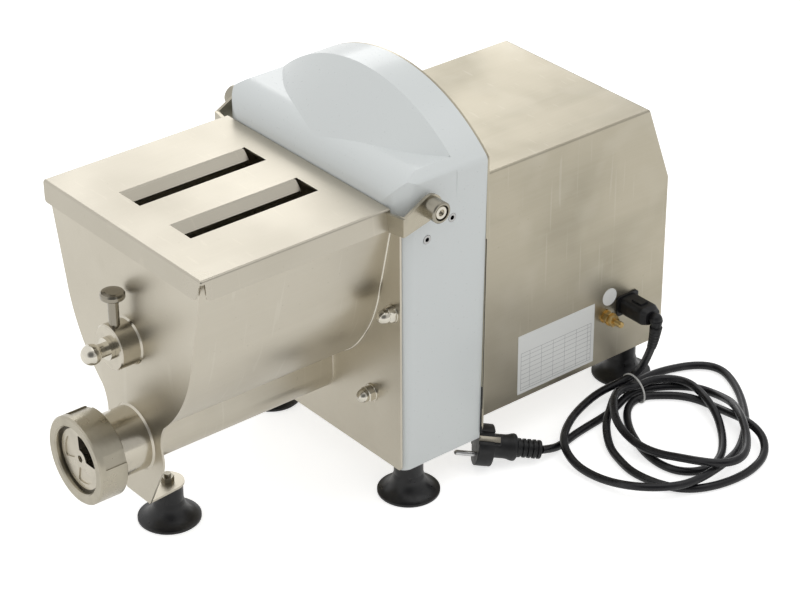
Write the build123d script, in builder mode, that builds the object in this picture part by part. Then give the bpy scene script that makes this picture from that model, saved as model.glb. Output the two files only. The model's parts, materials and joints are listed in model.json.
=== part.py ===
from build123d import *
import os
from math import acos, asin, atan2, cos, hypot, pi, radians, sin, sqrt, tan

os.makedirs("parts", exist_ok=True)

# An electric pasta maker: a mixing hopper with an auger under it, driven from a hood behind it and
# a motor housing at the back. Millimetres, +Z up, the die towards -Y, the mains inlet towards +X.
# The origin is on the floor under the middle of the machine.

# ---- shaft axes: all lie in the plane x = 0 ----
AUGER_Z = 96.0
OUTPUT_Z = 144.0
MIXER_Z = 190.0
LAY_Z = 198.0
PIVOT_Y = -16.5
PIVOT_Z = 293.5

# ---- hopper ----
SHEET = 2.0
HOPPER_FRONT = -231.5
HOPPER_REAR = -36.0
RIM_Z = 292.8
RIM_HALF = 109.8
TUB_RADIUS = 76.8
CHANNEL_RADIUS = 24.5
TAB_HALF = 17.0
TAB_END = 14.4
BACK_PLATE_HALF = 115.4
BACK_PLATE_TOP = 273.0
NUT_PLACES = ((106.0, 190.8), (77.0, 99.3), (-77.0, 99.3), (-106.0, 190.8))

# ---- barrel, die and ring nut ----
BORE_RADIUS = 22.5
BARREL_RADIUS = 28.5
COLLAR_RADIUS = 32.8
COLLAR_FRONT = -279.0
COLLAR_REAR = -265.0
NUT_FRONT = -291.0
NUT_REAR = -264.5
NUT_RADIUS = 39.5
NUT_BORE = 33.1
NUT_MOUTH = 30.0
NUT_SHOULDER = -284.7
DIE_FRONT = -286.0
DIE_STEP = -283.0

# ---- lid ----
LID_SHEET = 1.5
LID_HALF = 112.0
LID_FRONT = -234.0
LID_REAR = -45.5
LID_TOP = 294.6
LID_FLANGE_Z = 276.6
SLOTS = ((-52.3, -21.7), (20.1, 49.8))
SLOT_FRONT = -198.7
SLOT_REAR = -70.5
LID_FLARE = 2.4
ARM_OUTER = 130.0
ARM_SHEET = 3.0
BUSH_LENGTH = 13.6
BUSH_RADIUS = 9.5
EYE_RADIUS = 11.3
PIVOT_RADIUS = 5.0

# ---- hood ----
HOOD_WALL = 3.0
HOOD_FRONT = -36.0
HOOD_REAR = 51.0
BAND_FRONT = 18.0
HOOD_BOTTOM = 35.0
HOOD_BOTTOM_HALF = 116.0
HOOD_TOP_HALF = 122.0
ARCH_RADIUS = 172.0
ARCH_Z = 192.0
NOSE_RADIUS = 28.0
NOSE_CORNER = 24.0
BROW_FALL = 50.4
BULKHEAD_REAR = 53.0

# ---- rear housing ----
HOUSING_HALF = 96.5
HOUSING_REAR = 291.0
HOUSING_TOP = 281.0
HOUSING_TOP_REAR = 263.7
HOUSING_KNEE_Z = 206.0
HOUSING_BOTTOM = 39.5
HOUSING_SHEET = 1.5

# ---- feet ----
FOOT_HEIGHT = 36.0
FOOT_RADIUS = 27.7
FRONT_FOOT = (0.0, -201.3)
MIDDLE_FEET = ((100.0, -16.6), (-100.0, -16.6))
REAR_FEET = ((75.5, 261.7), (-75.5, 261.7))

# ---- running fits ----
SHAFT_RADIUS = 8.0
RUNNING = 0.05
BEARING_RADIUS = 17.5

# ---- mains cord ----
CORD = 7.5
CORD_EXIT = (136.0, 244.0, 84.0)
LEAD = (CORD_EXIT, (134.2, 244.2, 71), (130.2, 244.7, 57.8), (124.5, 245.4, 44.6), (118.4, 246.6, 32.6),
        (112.8, 248.0, 22.4), (108.6, 249.6, 13.4))
TAIL = ((134.2, 142, 4.6), (136, 132, 4.3), (138.6, 119, 6.2), (138.2, 104.8, 10.8))
COIL_CENTRE = (187.0, 220.0)
COIL_HALVES = (87.0, 102.0)
COIL_HOLE_CENTRE = (178.0, 232.0)
COIL_HOLE_HALVES = (55.0, 33.0)
COIL_HEIGHT = 15.0
PLUG_TAIL = (138.0, 104.0, 11.3)
PLUG_FACE = (106.0, 54.8, 21.8)


def front_plane(y):
    """The upright plane at y, drawn as seen from the front: x to the right and z up."""
    return Plane.XZ.offset(-y)


def disc(front, rear, outer, inner=0.0, x=0.0, z=0.0):
    """A disc or a ring along Y, from its front station to its rear one."""
    with BuildPart() as piece:
        with BuildSketch(front_plane(rear)):
            with Locations((x, z)):
                Circle(outer)
                if inner:
                    Circle(inner, mode=Mode.SUBTRACT)
        extrude(amount=rear - front)
    return piece.part


def block(x0, x1, y0, y1, z0, z1):
    """A rectangular block between its two corners."""
    with BuildPart() as piece:
        with BuildSketch(Plane.XY.offset(z0)):
            with Locations(((x0 + x1) / 2, (y0 + y1) / 2)):
                Rectangle(x1 - x0, y1 - y0)
        extrude(amount=z1 - z0)
    return piece.part


def turned(profile, origin, along):
    """A turned piece: the profile's points are (radius, distance along the axis)."""
    direction = Vector(along).normalized()
    side = Vector(0, 0, 1) if abs(direction.Z) < 0.9 else Vector(1, 0, 0)
    side = side - direction * side.dot(direction)
    flat = Plane(origin=origin, x_dir=side, z_dir=side.cross(direction))
    with BuildPart() as piece:
        with BuildSketch(flat):
            with BuildLine():
                Polyline(*profile, close=True)
            make_face()
        revolve(axis=Axis(origin, direction))
    return piece.part


def hexagon(x, z, front, rear, across_flats, bore):
    """A hexagon nut or bolt head with its axis along Y."""
    with BuildPart() as piece:
        with BuildSketch(front_plane(rear)):
            with Locations((x, z)):
                RegularPolygon(across_flats / sqrt(3), 6)
                if bore:
                    Circle(bore, mode=Mode.SUBTRACT)
        extrude(amount=rear - front)
    return piece.part


def tangent_point(point, centre, radius, side):
    """Where a line from a point touches a circle; side is +1 or -1."""
    reach = hypot(centre[0] - point[0], centre[1] - point[1])
    heading = atan2(centre[1] - point[1], centre[0] - point[0]) + side * asin(radius / reach)
    run = sqrt(reach ** 2 - radius ** 2)
    return (point[0] + run * cos(heading), point[1] + run * sin(heading))


# ============================== hopper ==============================

CHEEK = (90.5, 208)
CHEEK_BOW = (75, 164)
JAW = (45, 126)
BOW_CENTRE = (-52.1, 233.5)
BOW_RADIUS = 144.4
BOW_FOOT = radians(-39.9)
WALL_HALF = 90.0
WALL_LEAN = atan2(RIM_HALF - WALL_HALF, RIM_Z - CHEEK[1])


def bowed(radius, angle):
    """A point on the bowed lower part of a side wall."""
    return (BOW_CENTRE[0] + radius * cos(angle), BOW_CENTRE[1] + radius * sin(angle))


def hopper_section(inset, rim_z):
    """Cross-section of the side walls, the tub and the auger channel, taken in by a wall thickness."""
    channel = CHANNEL_RADIUS - inset
    bow = BOW_RADIUS - inset
    rim = RIM_HALF - inset / cos(WALL_LEAN) + (rim_z - RIM_Z) * tan(WALL_LEAN)
    shoulder = asin((CHEEK[1] - BOW_CENTRE[1]) / bow)
    foot = bowed(bow, BOW_FOOT)
    with BuildLine() as wall:
        Line((0, rim_z), (rim, rim_z))
        Line((rim, rim_z), bowed(bow, shoulder))
        ThreePointArc(bowed(bow, shoulder), bowed(bow, (shoulder + BOW_FOOT) / 2), foot)
        Line(foot, (0, foot[1]))
        mirror(about=Plane.YZ)
    with BuildSketch(front_plane(HOPPER_REAR - SHEET)) as section:
        make_face(wall.line.edges())
        with Locations((0, MIXER_Z)):
            Circle(TUB_RADIUS - inset)
        with Locations((0, AUGER_Z)):
            Circle(channel)
        with Locations((0, AUGER_Z + channel / 2)):
            Rectangle(2 * channel, channel)
    return section.sketch


TUB_LENGTH = HOPPER_REAR - SHEET - (HOPPER_FRONT + SHEET)
BEYOND = 150.0
NOSE_GAP = 0.8
with BuildPart() as hopper_trough:
    extrude(hopper_section(0, RIM_Z), amount=TUB_LENGTH, dir=(0, -1, 0))
    extrude(hopper_section(SHEET, RIM_Z + 5), amount=TUB_LENGTH, dir=(0, -1, 0), mode=Mode.SUBTRACT)
    with BuildSketch(Plane.YZ.offset(-BEYOND)):
        with Locations((PIVOT_Y, PIVOT_Z)):
            Circle(NOSE_RADIUS + NOSE_GAP)
    extrude(amount=2 * BEYOND, mode=Mode.SUBTRACT)
hopper_trough.part.label = "hopper_trough"
export_step(hopper_trough.part, "parts/hopper_trough.step")


THROAT = (40, 95)
TAB_SHOULDER = (37.5, 76)
BOLT_HOLE = 3.2


def front_plate_outline():
    """Half of the front plate's edge, from the rim down round the tub and the barrel to the tab."""
    with BuildLine() as edge:
        Line((0, RIM_Z), (RIM_HALF, RIM_Z))
        Line((RIM_HALF, RIM_Z), CHEEK)
        ThreePointArc(CHEEK, CHEEK_BOW, JAW)
        ThreePointArc(JAW, (39.3, 112), THROAT)
        ThreePointArc(THROAT, (40.3, 84), TAB_SHOULDER)
        Line(TAB_SHOULDER, (TAB_HALF, FOOT_HEIGHT))
        Line((TAB_HALF, FOOT_HEIGHT), (0, FOOT_HEIGHT))
        mirror(about=Plane.YZ)
    return edge.line


with BuildPart() as hopper_front_plate:
    with BuildSketch(front_plane(HOPPER_FRONT + SHEET)) as plate_outline:
        make_face(front_plate_outline().edges())
        with Locations((0, AUGER_Z)):
            Circle(BORE_RADIUS, mode=Mode.SUBTRACT)
        with Locations((0, MIXER_Z)):
            Circle(SHAFT_RADIUS + RUNNING, mode=Mode.SUBTRACT)
    extrude(amount=SHEET)
    with BuildSketch(Plane.XY.offset(FOOT_HEIGHT)) as tab_outline:
        Polygon((-TAB_HALF, HOPPER_FRONT), (TAB_HALF, HOPPER_FRONT), (TAB_END, FRONT_FOOT[1]),
                (-TAB_END, FRONT_FOOT[1]))
        with Locations(FRONT_FOOT):
            Circle(TAB_END)
        with Locations(FRONT_FOOT):
            Circle(BOLT_HOLE, mode=Mode.SUBTRACT)
    extrude(amount=SHEET)
hopper_front_plate.part.label = "hopper_front_plate"
export_step(hopper_front_plate.part, "parts/hopper_front_plate.step")

BACK_PLATE_LOW = 37.0
SHEET_CORNER = 3.0
SEAL_RADIUS = 14.0
STUD_HOLE = 4.3
with BuildPart() as hopper_back_plate:
    with BuildSketch(front_plane(HOPPER_REAR)) as back_outline:
        with Locations((0, (BACK_PLATE_LOW + BACK_PLATE_TOP) / 2)):
            Rectangle(2 * BACK_PLATE_HALF, BACK_PLATE_TOP - BACK_PLATE_LOW)
        fillet(back_outline.vertices(), SHEET_CORNER)
        with Locations((0, AUGER_Z), (0, MIXER_Z)):
            Circle(SEAL_RADIUS + 0.2, mode=Mode.SUBTRACT)
        with Locations(*NUT_PLACES):
            Circle(STUD_HOLE, mode=Mode.SUBTRACT)
    extrude(amount=SHEET)
hopper_back_plate.part.label = "hopper_back_plate"
export_step(hopper_back_plate.part, "parts/hopper_back_plate.step")

with BuildPart() as barrel_tube:
    add(disc(COLLAR_REAR, HOPPER_FRONT, BARREL_RADIUS, BORE_RADIUS, z=AUGER_Z))
    add(disc(COLLAR_FRONT, COLLAR_REAR, COLLAR_RADIUS, BORE_RADIUS, z=AUGER_Z))
    add(turned([(26, 0), (30, 0), (28, 2.2)], (0, HOPPER_FRONT, AUGER_Z), (0, -1, 0)))
barrel_tube.part.label = "barrel_tube"
export_step(barrel_tube.part, "parts/barrel_tube.step")

BOSS_FRONT = -250.8
BOSS_RADIUS = 20.0
PIN_Y = -244.0
PIN_HOLE = 4.7
with BuildPart() as mixer_boss:
    add(disc(BOSS_FRONT, HOPPER_FRONT, BOSS_RADIUS, z=MIXER_Z))
    chamfer(mixer_boss.edges().group_by(Axis.Y)[0], 1)
    add(turned([(18, 0), (21.4, 0), (19.5, 2)], (0, HOPPER_FRONT, MIXER_Z), (0, -1, 0)))
    add(disc(BOSS_FRONT - 1, HOPPER_FRONT, SHAFT_RADIUS + RUNNING, z=MIXER_Z), mode=Mode.SUBTRACT)
    with BuildSketch(Plane.XY.offset(MIXER_Z + 2)):
        with Locations((0, PIN_Y)):
            Circle(PIN_HOLE)
    extrude(amount=BOSS_RADIUS + 5, mode=Mode.SUBTRACT)
mixer_boss.part.label = "mixer_boss"
export_step(mixer_boss.part, "parts/mixer_boss.step")

WASHER_REAR = HOPPER_REAR - SHEET
WASHER_FRONT = WASHER_REAR - 1.6
WASHER_RADIUS = 8.0
NUT_HEX_FRONT = -46.0
NUT_FLATS = 13.0
STUD_RADIUS = 4.0
STUD_TIP = -47.5
DOME_PROFILE = [(0, 8.6), (0, 0), (6.2, 0), (6.2, 3), (5.7, 5.4), (4.4, 7.3), (2.4, 8.3)]


def acorn_nut(x, z):
    """A domed nut with a blind hole for its stud, in front of a plain washer."""
    with BuildPart() as nut:
        add(hexagon(x, z, NUT_HEX_FRONT, WASHER_FRONT, NUT_FLATS, 0))
        add(turned(DOME_PROFILE, (x, NUT_HEX_FRONT, z), (0, -1, 0)))
        add(disc(STUD_TIP - 1, WASHER_FRONT, STUD_RADIUS + RUNNING, 0, x, z), mode=Mode.SUBTRACT)
        add(disc(WASHER_FRONT, WASHER_REAR, WASHER_RADIUS, STUD_HOLE, x, z))
    return nut.part


with BuildPart() as acorn_nuts:
    for nut_x, nut_z in NUT_PLACES:
        add(acorn_nut(nut_x, nut_z))
acorn_nuts.part.label = "acorn_nuts"
export_step(acorn_nuts.part, "parts/acorn_nuts.step")


# ============================== die and ring nut ==============================

DIE_RIM = 31.5
DIE_FACE = 27.3
DIE_POCKET = 1.0
PILOT_RADIUS = 5.0
PILOT_FRONT = -284.2
HUB_SOCKET = 6.0


def die_window(start, sweep_angle, rear):
    """One sector of the die between the hub and the rim, drawn at its rear station."""
    with BuildSketch(front_plane(rear)) as window:
        with BuildLine():
            outer = CenterArc((0, AUGER_Z), 22.5, start, sweep_angle)
            inner = CenterArc((0, AUGER_Z), 8.5, start, sweep_angle)
            Line(outer @ 0, inner @ 0)
            Line(outer @ 1, inner @ 1)
        make_face()
        fillet(window.vertices(), 1.5)
    return window.sketch


with BuildPart() as extrusion_die:
    add(disc(DIE_STEP, COLLAR_FRONT, DIE_RIM, z=AUGER_Z))
    add(disc(DIE_FRONT, DIE_STEP, DIE_FACE, z=AUGER_Z))
    extrude(die_window(2, 92, COLLAR_FRONT), amount=8, dir=(0, -1, 0), mode=Mode.SUBTRACT)
    for start_angle in (138, 258):
        pocket = die_window(start_angle, 60, DIE_FRONT + DIE_POCKET)
        extrude(pocket, amount=2, dir=(0, -1, 0), mode=Mode.SUBTRACT)
    add(disc(PILOT_FRONT, COLLAR_FRONT, PILOT_RADIUS, z=AUGER_Z), mode=Mode.SUBTRACT)
    add(hexagon(0, AUGER_Z, DIE_FRONT, PILOT_FRONT, HUB_SOCKET, 0), mode=Mode.SUBTRACT)
extrusion_die.part.label = "extrusion_die"
export_step(extrusion_die.part, "parts/extrusion_die.step")

with BuildPart() as pressure_ring:
    add(disc(NUT_SHOULDER + 0.1, DIE_STEP - 0.2, DIE_RIM + 0.3, DIE_FACE + 0.5, z=AUGER_Z))
pressure_ring.part.label = "pressure_ring"
export_step(pressure_ring.part, "parts/pressure_ring.step")

SPANNER_NOTCHES = 4
with BuildPart() as ring_nut:
    add(disc(NUT_FRONT, NUT_REAR, NUT_RADIUS, NUT_MOUTH, z=AUGER_Z))
    chamfer(ring_nut.edges().group_by(Axis.Y)[0], 1.3)
    chamfer(ring_nut.edges().group_by(Axis.Y)[-1].sort_by(SortBy.RADIUS)[-1], 1)
    add(disc(NUT_SHOULDER, NUT_REAR, NUT_BORE, z=AUGER_Z), mode=Mode.SUBTRACT)
    with BuildSketch(front_plane(NUT_REAR)):
        with Locations((0, AUGER_Z)):
            with PolarLocations(NUT_RADIUS + 0.6, SPANNER_NOTCHES, start_angle=20):
                Rectangle(4.6, 12)
    extrude(amount=21, mode=Mode.SUBTRACT)
ring_nut.part.label = "ring_nut"
export_step(ring_nut.part, "parts/ring_nut.step")


# ============================== mixer axle and lock pin ==============================

BALL_Y = -268.0
with BuildPart() as mixer_axle:
    add(turned([(0, 0), (9.8, 0), (9.8, 3.7), (8, 3.7), (8, 5.6), (6, 5.6), (6, 15.6), (8, 15.6),
                (8, 49), (7, 50), (0, 50)], (0, -254.6, MIXER_Z), (0, 1, 0)))
    add(disc(-263, -254.6, 6, z=MIXER_Z))
    with Locations((0, BALL_Y, MIXER_Z)):
        Sphere(9)
mixer_axle.part.label = "mixer_axle"
export_step(mixer_axle.part, "parts/mixer_axle.step")

PIN_TIP = 196.2
with BuildPart() as lock_pin:
    add(turned([(0, 0), (3.6, 0), (4.6, 1), (4.6, 38), (6, 38.8), (10, 38.8), (10.5, 39.6), (10.5, 42.5),
                (9.4, 44.2), (6, 44.8), (0, 44.8)], (0, PIN_Y, PIN_TIP), (0, 0, 1)))
lock_pin.part.label = "lock_pin"
export_step(lock_pin.part, "parts/lock_pin.step")


# ============================== lid ==============================

FLANGE_DROP = LID_TOP - LID_FLANGE_Z
LID_FOLD = 2.0
FLANGE_ROUND = 4.0
GAP_TOP = LID_TOP - 3.2
GAP_LOW = LID_FLANGE_Z - 2


def lid_block(inset, low):
    """The lid as a solid that widens downwards at the front and at both sides, taken in all round."""
    top = LID_TOP - inset
    half = LID_HALF - inset
    front = LID_FRONT + inset
    rear = LID_REAR if inset == 0 else LID_REAR + 5
    splay = LID_FLARE * (LID_TOP - low) / FLANGE_DROP
    with BuildPart() as solid:
        with BuildSketch(front_plane(rear)):
            Polygon((-half, top), (half, top), (half + splay, low), (-half - splay, low))
        extrude(amount=rear - front + splay)
        with BuildSketch(Plane.YZ.offset(-BEYOND)):
            Polygon((rear, top), (front, top), (front - splay, low), (rear, low))
        extrude(amount=2 * BEYOND, mode=Mode.INTERSECT)
    return solid.part


def lid_shell():
    """The folded lid: a flat top with a splayed flange down at the front and at both sides."""
    with BuildPart() as shell:
        add(lid_block(0, LID_FLANGE_Z))
        top_edges = shell.edges().group_by(Axis.Z)[-1]
        fillet(top_edges.filter_by(Axis.Y), LID_FOLD)
        fillet(shell.edges().filter_by(Axis.X).group_by(Axis.Z)[-1].sort_by(Axis.Y)[0], LID_FOLD)
        add(lid_block(LID_SHEET, LID_FLANGE_Z - 5), mode=Mode.SUBTRACT)
        with BuildSketch(front_plane(LID_FRONT + 4)):
            for side in (-1, 1):
                Polygon((side * (LID_HALF - 1.2), GAP_TOP), (side * (LID_HALF + 5), GAP_TOP),
                        (side * (LID_HALF + 5), GAP_LOW), (side * (LID_HALF - 5.4), GAP_LOW))
        extrude(amount=10, mode=Mode.SUBTRACT)
        low_ends = shell.edges().filter_by(lambda e: e.center().Z < LID_FLANGE_Z + 0.01 and e.length < 3)
        fillet(low_ends.filter_by(lambda e: e.center().Y < LID_FRONT + 8), FLANGE_ROUND)
    return shell.part


TONGUE = ((0, LID_SHEET), (0, 0), (3, 0.6), (9.5, 7.4), (9.5, 9.6), (8.4, 9.2), (2.2, 2.4))
TONGUE_NOTCH = 2.5
with BuildPart() as lid:
    add(lid_shell())
    for slot_left, slot_right in SLOTS:
        add(block(slot_left, slot_right, SLOT_FRONT, SLOT_REAR, LID_TOP - 5, LID_TOP + 5), mode=Mode.SUBTRACT)
    for slot_left, slot_right in SLOTS:
        with BuildSketch(front_plane(SLOT_REAR - TONGUE_NOTCH)):
            Polygon([(slot_left + across, LID_TOP - down) for across, down in TONGUE])
        extrude(amount=SLOT_REAR - TONGUE_NOTCH - SLOT_FRONT)
lid.part.label = "lid"
export_step(lid.part, "parts/lid.step")


ARM_TIP_LOW = 275.0
ARM_TIP_HIGH = 291.5
ARM_TIP_Y = -50.0
ARM_RISE_Y = -44.0


def lid_arm():
    """The right-hand arm: cranked outwards in plan from the lid's flange, rising to an eye."""
    eye_low = tangent_point((ARM_RISE_Y, ARM_TIP_LOW), (PIVOT_Y, PIVOT_Z), EYE_RADIUS, -1)
    eye_high = tangent_point((ARM_RISE_Y, ARM_TIP_HIGH), (PIVOT_Y, PIVOT_Z), EYE_RADIUS, 1)
    arm_inner = ARM_OUTER - ARM_SHEET
    with BuildPart() as arm:
        with BuildSketch(Plane.XY.offset(270)):
            Polygon((LID_HALF - 2, -49.8), (ARM_OUTER, -45.8), (ARM_OUTER, 0), (arm_inner, 0),
                    (arm_inner, -43.0), (LID_HALF - 2, -46.8))
        extrude(amount=40)
        with BuildSketch(Plane.YZ.offset(100)):
            Polygon((ARM_TIP_Y, ARM_TIP_LOW), (ARM_RISE_Y, ARM_TIP_LOW), eye_low, (PIVOT_Y, PIVOT_Z),
                    eye_high, (ARM_RISE_Y, ARM_TIP_HIGH), (ARM_TIP_Y, ARM_TIP_HIGH))
            with Locations((PIVOT_Y, PIVOT_Z)):
                Circle(EYE_RADIUS)
        extrude(amount=40, mode=Mode.INTERSECT)
        with BuildSketch(Plane.YZ.offset(100)):
            with Locations((PIVOT_Y, PIVOT_Z)):
                Circle(PIVOT_RADIUS + RUNNING)
        extrude(amount=40, mode=Mode.SUBTRACT)
        add(lid_block(0, LID_FLANGE_Z - 5), mode=Mode.SUBTRACT)
    return arm.part


def both_sides(piece):
    """A right-hand piece together with its mirror image on the left."""
    with BuildPart() as pair:
        add(piece)
        mirror(about=Plane.YZ)
    return pair.part


with BuildPart() as lid_arms:
    add(both_sides(lid_arm()))
lid_arms.part.label = "lid_arms"
export_step(lid_arms.part, "parts/lid_arms.step")

BUSH_MOUTH = 7.0
BUSH_SEAT = BUSH_LENGTH - 6
with BuildPart() as hinge_bushes:
    bush = turned([(PIVOT_RADIUS + RUNNING, 0), (BUSH_RADIUS, 0), (BUSH_RADIUS, BUSH_LENGTH - 1),
                   (BUSH_RADIUS - 1, BUSH_LENGTH), (BUSH_MOUTH, BUSH_LENGTH), (BUSH_MOUTH, BUSH_SEAT),
                   (PIVOT_RADIUS + RUNNING, BUSH_SEAT)],
                  (ARM_OUTER, PIVOT_Y, PIVOT_Z), (1, 0, 0))
    add(both_sides(bush))
hinge_bushes.part.label = "hinge_bushes"
export_step(hinge_bushes.part, "parts/hinge_bushes.step")

BOLT_END = 107.2
BOLT_SHANK = ARM_OUTER + BUSH_SEAT + 0.4 - BOLT_END
with BuildPart() as pivot_bolts:
    bolt = turned([(0, 0), (PIVOT_RADIUS, 0), (PIVOT_RADIUS, BOLT_SHANK), (6.2, BOLT_SHANK),
                   (6.2, BOLT_SHANK + 3.8), (5.4, BOLT_SHANK + 4.8), (3, BOLT_SHANK + 4.8),
                   (3, BOLT_SHANK + 2.3), (0, BOLT_SHANK + 2.3)], (BOLT_END, PIVOT_Y, PIVOT_Z), (1, 0, 0))
    add(both_sides(bolt))
pivot_bolts.part.label = "pivot_bolts"
export_step(pivot_bolts.part, "parts/pivot_bolts.step")


# ============================== hood ==============================

SHOULDER_Z = 313.0
SHOULDER_ROUND = 8.0
BROW_HALF = 112.0
LOWER_ROUND = 9.5
LOWER_TOP = 285.0
HOOD_TALL = 380.0


def hood_outline(y, inset, floor_z):
    """The hood seen from the front: drafted sides, rounded shoulders and an arched top."""
    draft = (HOOD_TOP_HALF - HOOD_BOTTOM_HALF) / (SHOULDER_Z - HOOD_BOTTOM)
    arch = ARCH_RADIUS - inset
    top_half = HOOD_TOP_HALF - inset
    shoulder = ARCH_Z + sqrt(arch ** 2 - top_half ** 2)
    bottom_half = top_half - draft * (shoulder - floor_z)
    with BuildSketch(front_plane(y)) as outline:
        with BuildLine():
            Polyline((-top_half, shoulder), (-bottom_half, floor_z), (bottom_half, floor_z),
                     (top_half, shoulder))
            ThreePointArc((top_half, shoulder), (0, ARCH_Z + arch), (-top_half, shoulder))
        make_face()
        fillet(outline.vertices().group_by(Axis.Y)[-1], SHOULDER_ROUND - inset)
    return outline.sketch


def hood_brow(inset):
    """The sloping face: the arch carried forwards and down at a constant slope."""
    arch = ARCH_RADIUS - inset
    half = BROW_HALF - inset
    chord_z = ARCH_Z + sqrt(arch ** 2 - half ** 2)
    run = BAND_FRONT - HOOD_FRONT
    back = BAND_FRONT + inset * tan(atan2(BROW_FALL, run) / 2)
    with BuildSketch(front_plane(back)) as cap:
        with BuildLine():
            ThreePointArc((half, chord_z), (0, ARCH_Z + arch), (-half, chord_z))
            Line((-half, chord_z), (half, chord_z))
        make_face()
    with BuildPart() as brow:
        extrude(cap.sketch, amount=hypot(run, BROW_FALL), dir=(0, -run, -BROW_FALL))
    return brow.part


def hood_nose(inset):
    """The rolled nose over the lid's pivot, running back level to the band."""
    radius = NOSE_RADIUS - inset
    half = HOOD_TOP_HALF - 0.6 - inset
    front = HOOD_FRONT + inset
    drop = sqrt(radius ** 2 - (front - PIVOT_Y) ** 2)
    with BuildPart() as nose:
        with BuildSketch(Plane.YZ.offset(-half)):
            with BuildLine():
                ThreePointArc((front, PIVOT_Z - drop), (PIVOT_Y - radius, PIVOT_Z),
                              (PIVOT_Y, PIVOT_Z + radius))
                Polyline((PIVOT_Y, PIVOT_Z + radius), (BAND_FRONT + 2 + inset, PIVOT_Z + radius),
                         (BAND_FRONT + 2 + inset, PIVOT_Z - drop), (front, PIVOT_Z - drop))
            make_face()
        extrude(amount=2 * half)
        extrude(hood_outline(HOOD_REAR, inset, 200), amount=110, dir=(0, -1, 0), mode=Mode.INTERSECT)
        nose_front = PIVOT_Y - radius
        with BuildSketch(Plane.XY.offset(200)) as plan:
            with Locations((0, (nose_front + HOOD_REAR) / 2)):
                Rectangle(2 * half, HOOD_REAR - nose_front)
            fillet(plan.vertices().group_by(Axis.Y)[0], NOSE_CORNER - inset)
        extrude(amount=160, mode=Mode.INTERSECT)
    return nose.part


def hood_form(inset, floor_z, rear):
    """The hood's outer shape, or the shape of its hollow, taken in by the wall."""
    front = HOOD_FRONT + inset
    with BuildPart() as lower:
        extrude(hood_outline(BAND_FRONT + 2 + inset, inset, floor_z), amount=BAND_FRONT + 2 + inset - front,
                dir=(0, -1, 0))
        add(block(-BEYOND, BEYOND, -60, 60, LOWER_TOP, HOOD_TALL), mode=Mode.SUBTRACT)
        corners = lower.edges().filter_by(lambda e: e.length > 200).sort_by(Axis.Y)[:2]
        fillet(corners, LOWER_ROUND - inset)
    with BuildPart() as form:
        extrude(hood_outline(rear, inset, floor_z), amount=rear - BAND_FRONT - inset / 3, dir=(0, -1, 0))
        add(lower.part)
        add(hood_nose(inset))
        add(hood_brow(inset))
    return form.part


HOOD_SCREWS = ((13.6, 269.8), (-13.3, 258.3))
SCREW_RADIUS = 2.0
SCREW_HEAD = 3.9
SINK_SEAT = 118.2
SINK_PROFILE = [(0, 0), (1.9, 0), (4.2, 2.3), (4.2, 6), (0, 6)]
APRON_HALF = 98.0
APRON_TOP = 270.0
with BuildPart() as hood_cover:
    add(hood_form(0, HOOD_BOTTOM, HOOD_REAR))
    add(hood_form(HOOD_WALL, HOOD_BOTTOM - 5, HOOD_REAR + 5), mode=Mode.SUBTRACT)
    add(block(-APRON_HALF, APRON_HALF, HOOD_FRONT - 5, HOOD_FRONT + HOOD_WALL + 1, HOOD_BOTTOM - 2,
              APRON_TOP), mode=Mode.SUBTRACT)
    with BuildSketch(Plane.YZ.offset(-BEYOND)):
        with Locations((PIVOT_Y, PIVOT_Z)):
            Circle(PIVOT_RADIUS + 0.2)
        with Locations(*HOOD_SCREWS):
            Circle(SCREW_RADIUS + 0.2)
    extrude(amount=2 * BEYOND, mode=Mode.SUBTRACT)
    for nut_x, nut_z in (NUT_PLACES[0], NUT_PLACES[3]):
        add(disc(HOOD_FRONT - 1, HOOD_FRONT + 5, STUD_HOLE, 0, nut_x, nut_z), mode=Mode.SUBTRACT)
    for screw_y, screw_z in HOOD_SCREWS:
        add(both_sides(turned(SINK_PROFILE, (SINK_SEAT, screw_y, screw_z), (1, 0, 0))), mode=Mode.SUBTRACT)
hood_cover.part.label = "hood_cover"
export_step(hood_cover.part, "parts/hood_cover.step")

SCREW_END = 112.2
SCREW_PROFILE = [(0, 0), (SCREW_RADIUS, 0), (SCREW_RADIUS, 6.4), (SCREW_HEAD, 8.4), (SCREW_HEAD, 8.9),
                 (2, 8.9), (2, 7), (0, 7)]
with BuildPart() as hood_screws:
    for screw_y, screw_z in HOOD_SCREWS:
        add(both_sides(turned(SCREW_PROFILE, (SCREW_END, screw_y, screw_z), (1, 0, 0))))
hood_screws.part.label = "hood_screws"
export_step(hood_screws.part, "parts/hood_screws.step")

BRACKET_INNER = 114.2
BRACKET_SHEET = 3.2
BRACKET_MIDDLE = (1.0, 277.0)
LOCK_NUT = 6.0
with BuildPart() as hinge_brackets:
    with BuildSketch(Plane.YZ.offset(BRACKET_INNER)) as bracket_outline:
        with Locations(BRACKET_MIDDLE):
            Rectangle(48, 46)
        fillet(bracket_outline.vertices(), 6)
        with Locations((PIVOT_Y, PIVOT_Z)):
            Circle(PIVOT_RADIUS, mode=Mode.SUBTRACT)
        with Locations(*HOOD_SCREWS):
            Circle(SCREW_RADIUS, mode=Mode.SUBTRACT)
    extrude(amount=BRACKET_SHEET)
    with BuildSketch(Plane.YZ.offset(BRACKET_INNER - LOCK_NUT)) as lock_nut:
        with Locations((PIVOT_Y, PIVOT_Z)):
            RegularPolygon(9, 6)
            Circle(PIVOT_RADIUS, mode=Mode.SUBTRACT)
    extrude(amount=LOCK_NUT)
    mirror(about=Plane.YZ)
hinge_brackets.part.label = "hinge_brackets"
export_step(hinge_brackets.part, "parts/hinge_brackets.step")

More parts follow.
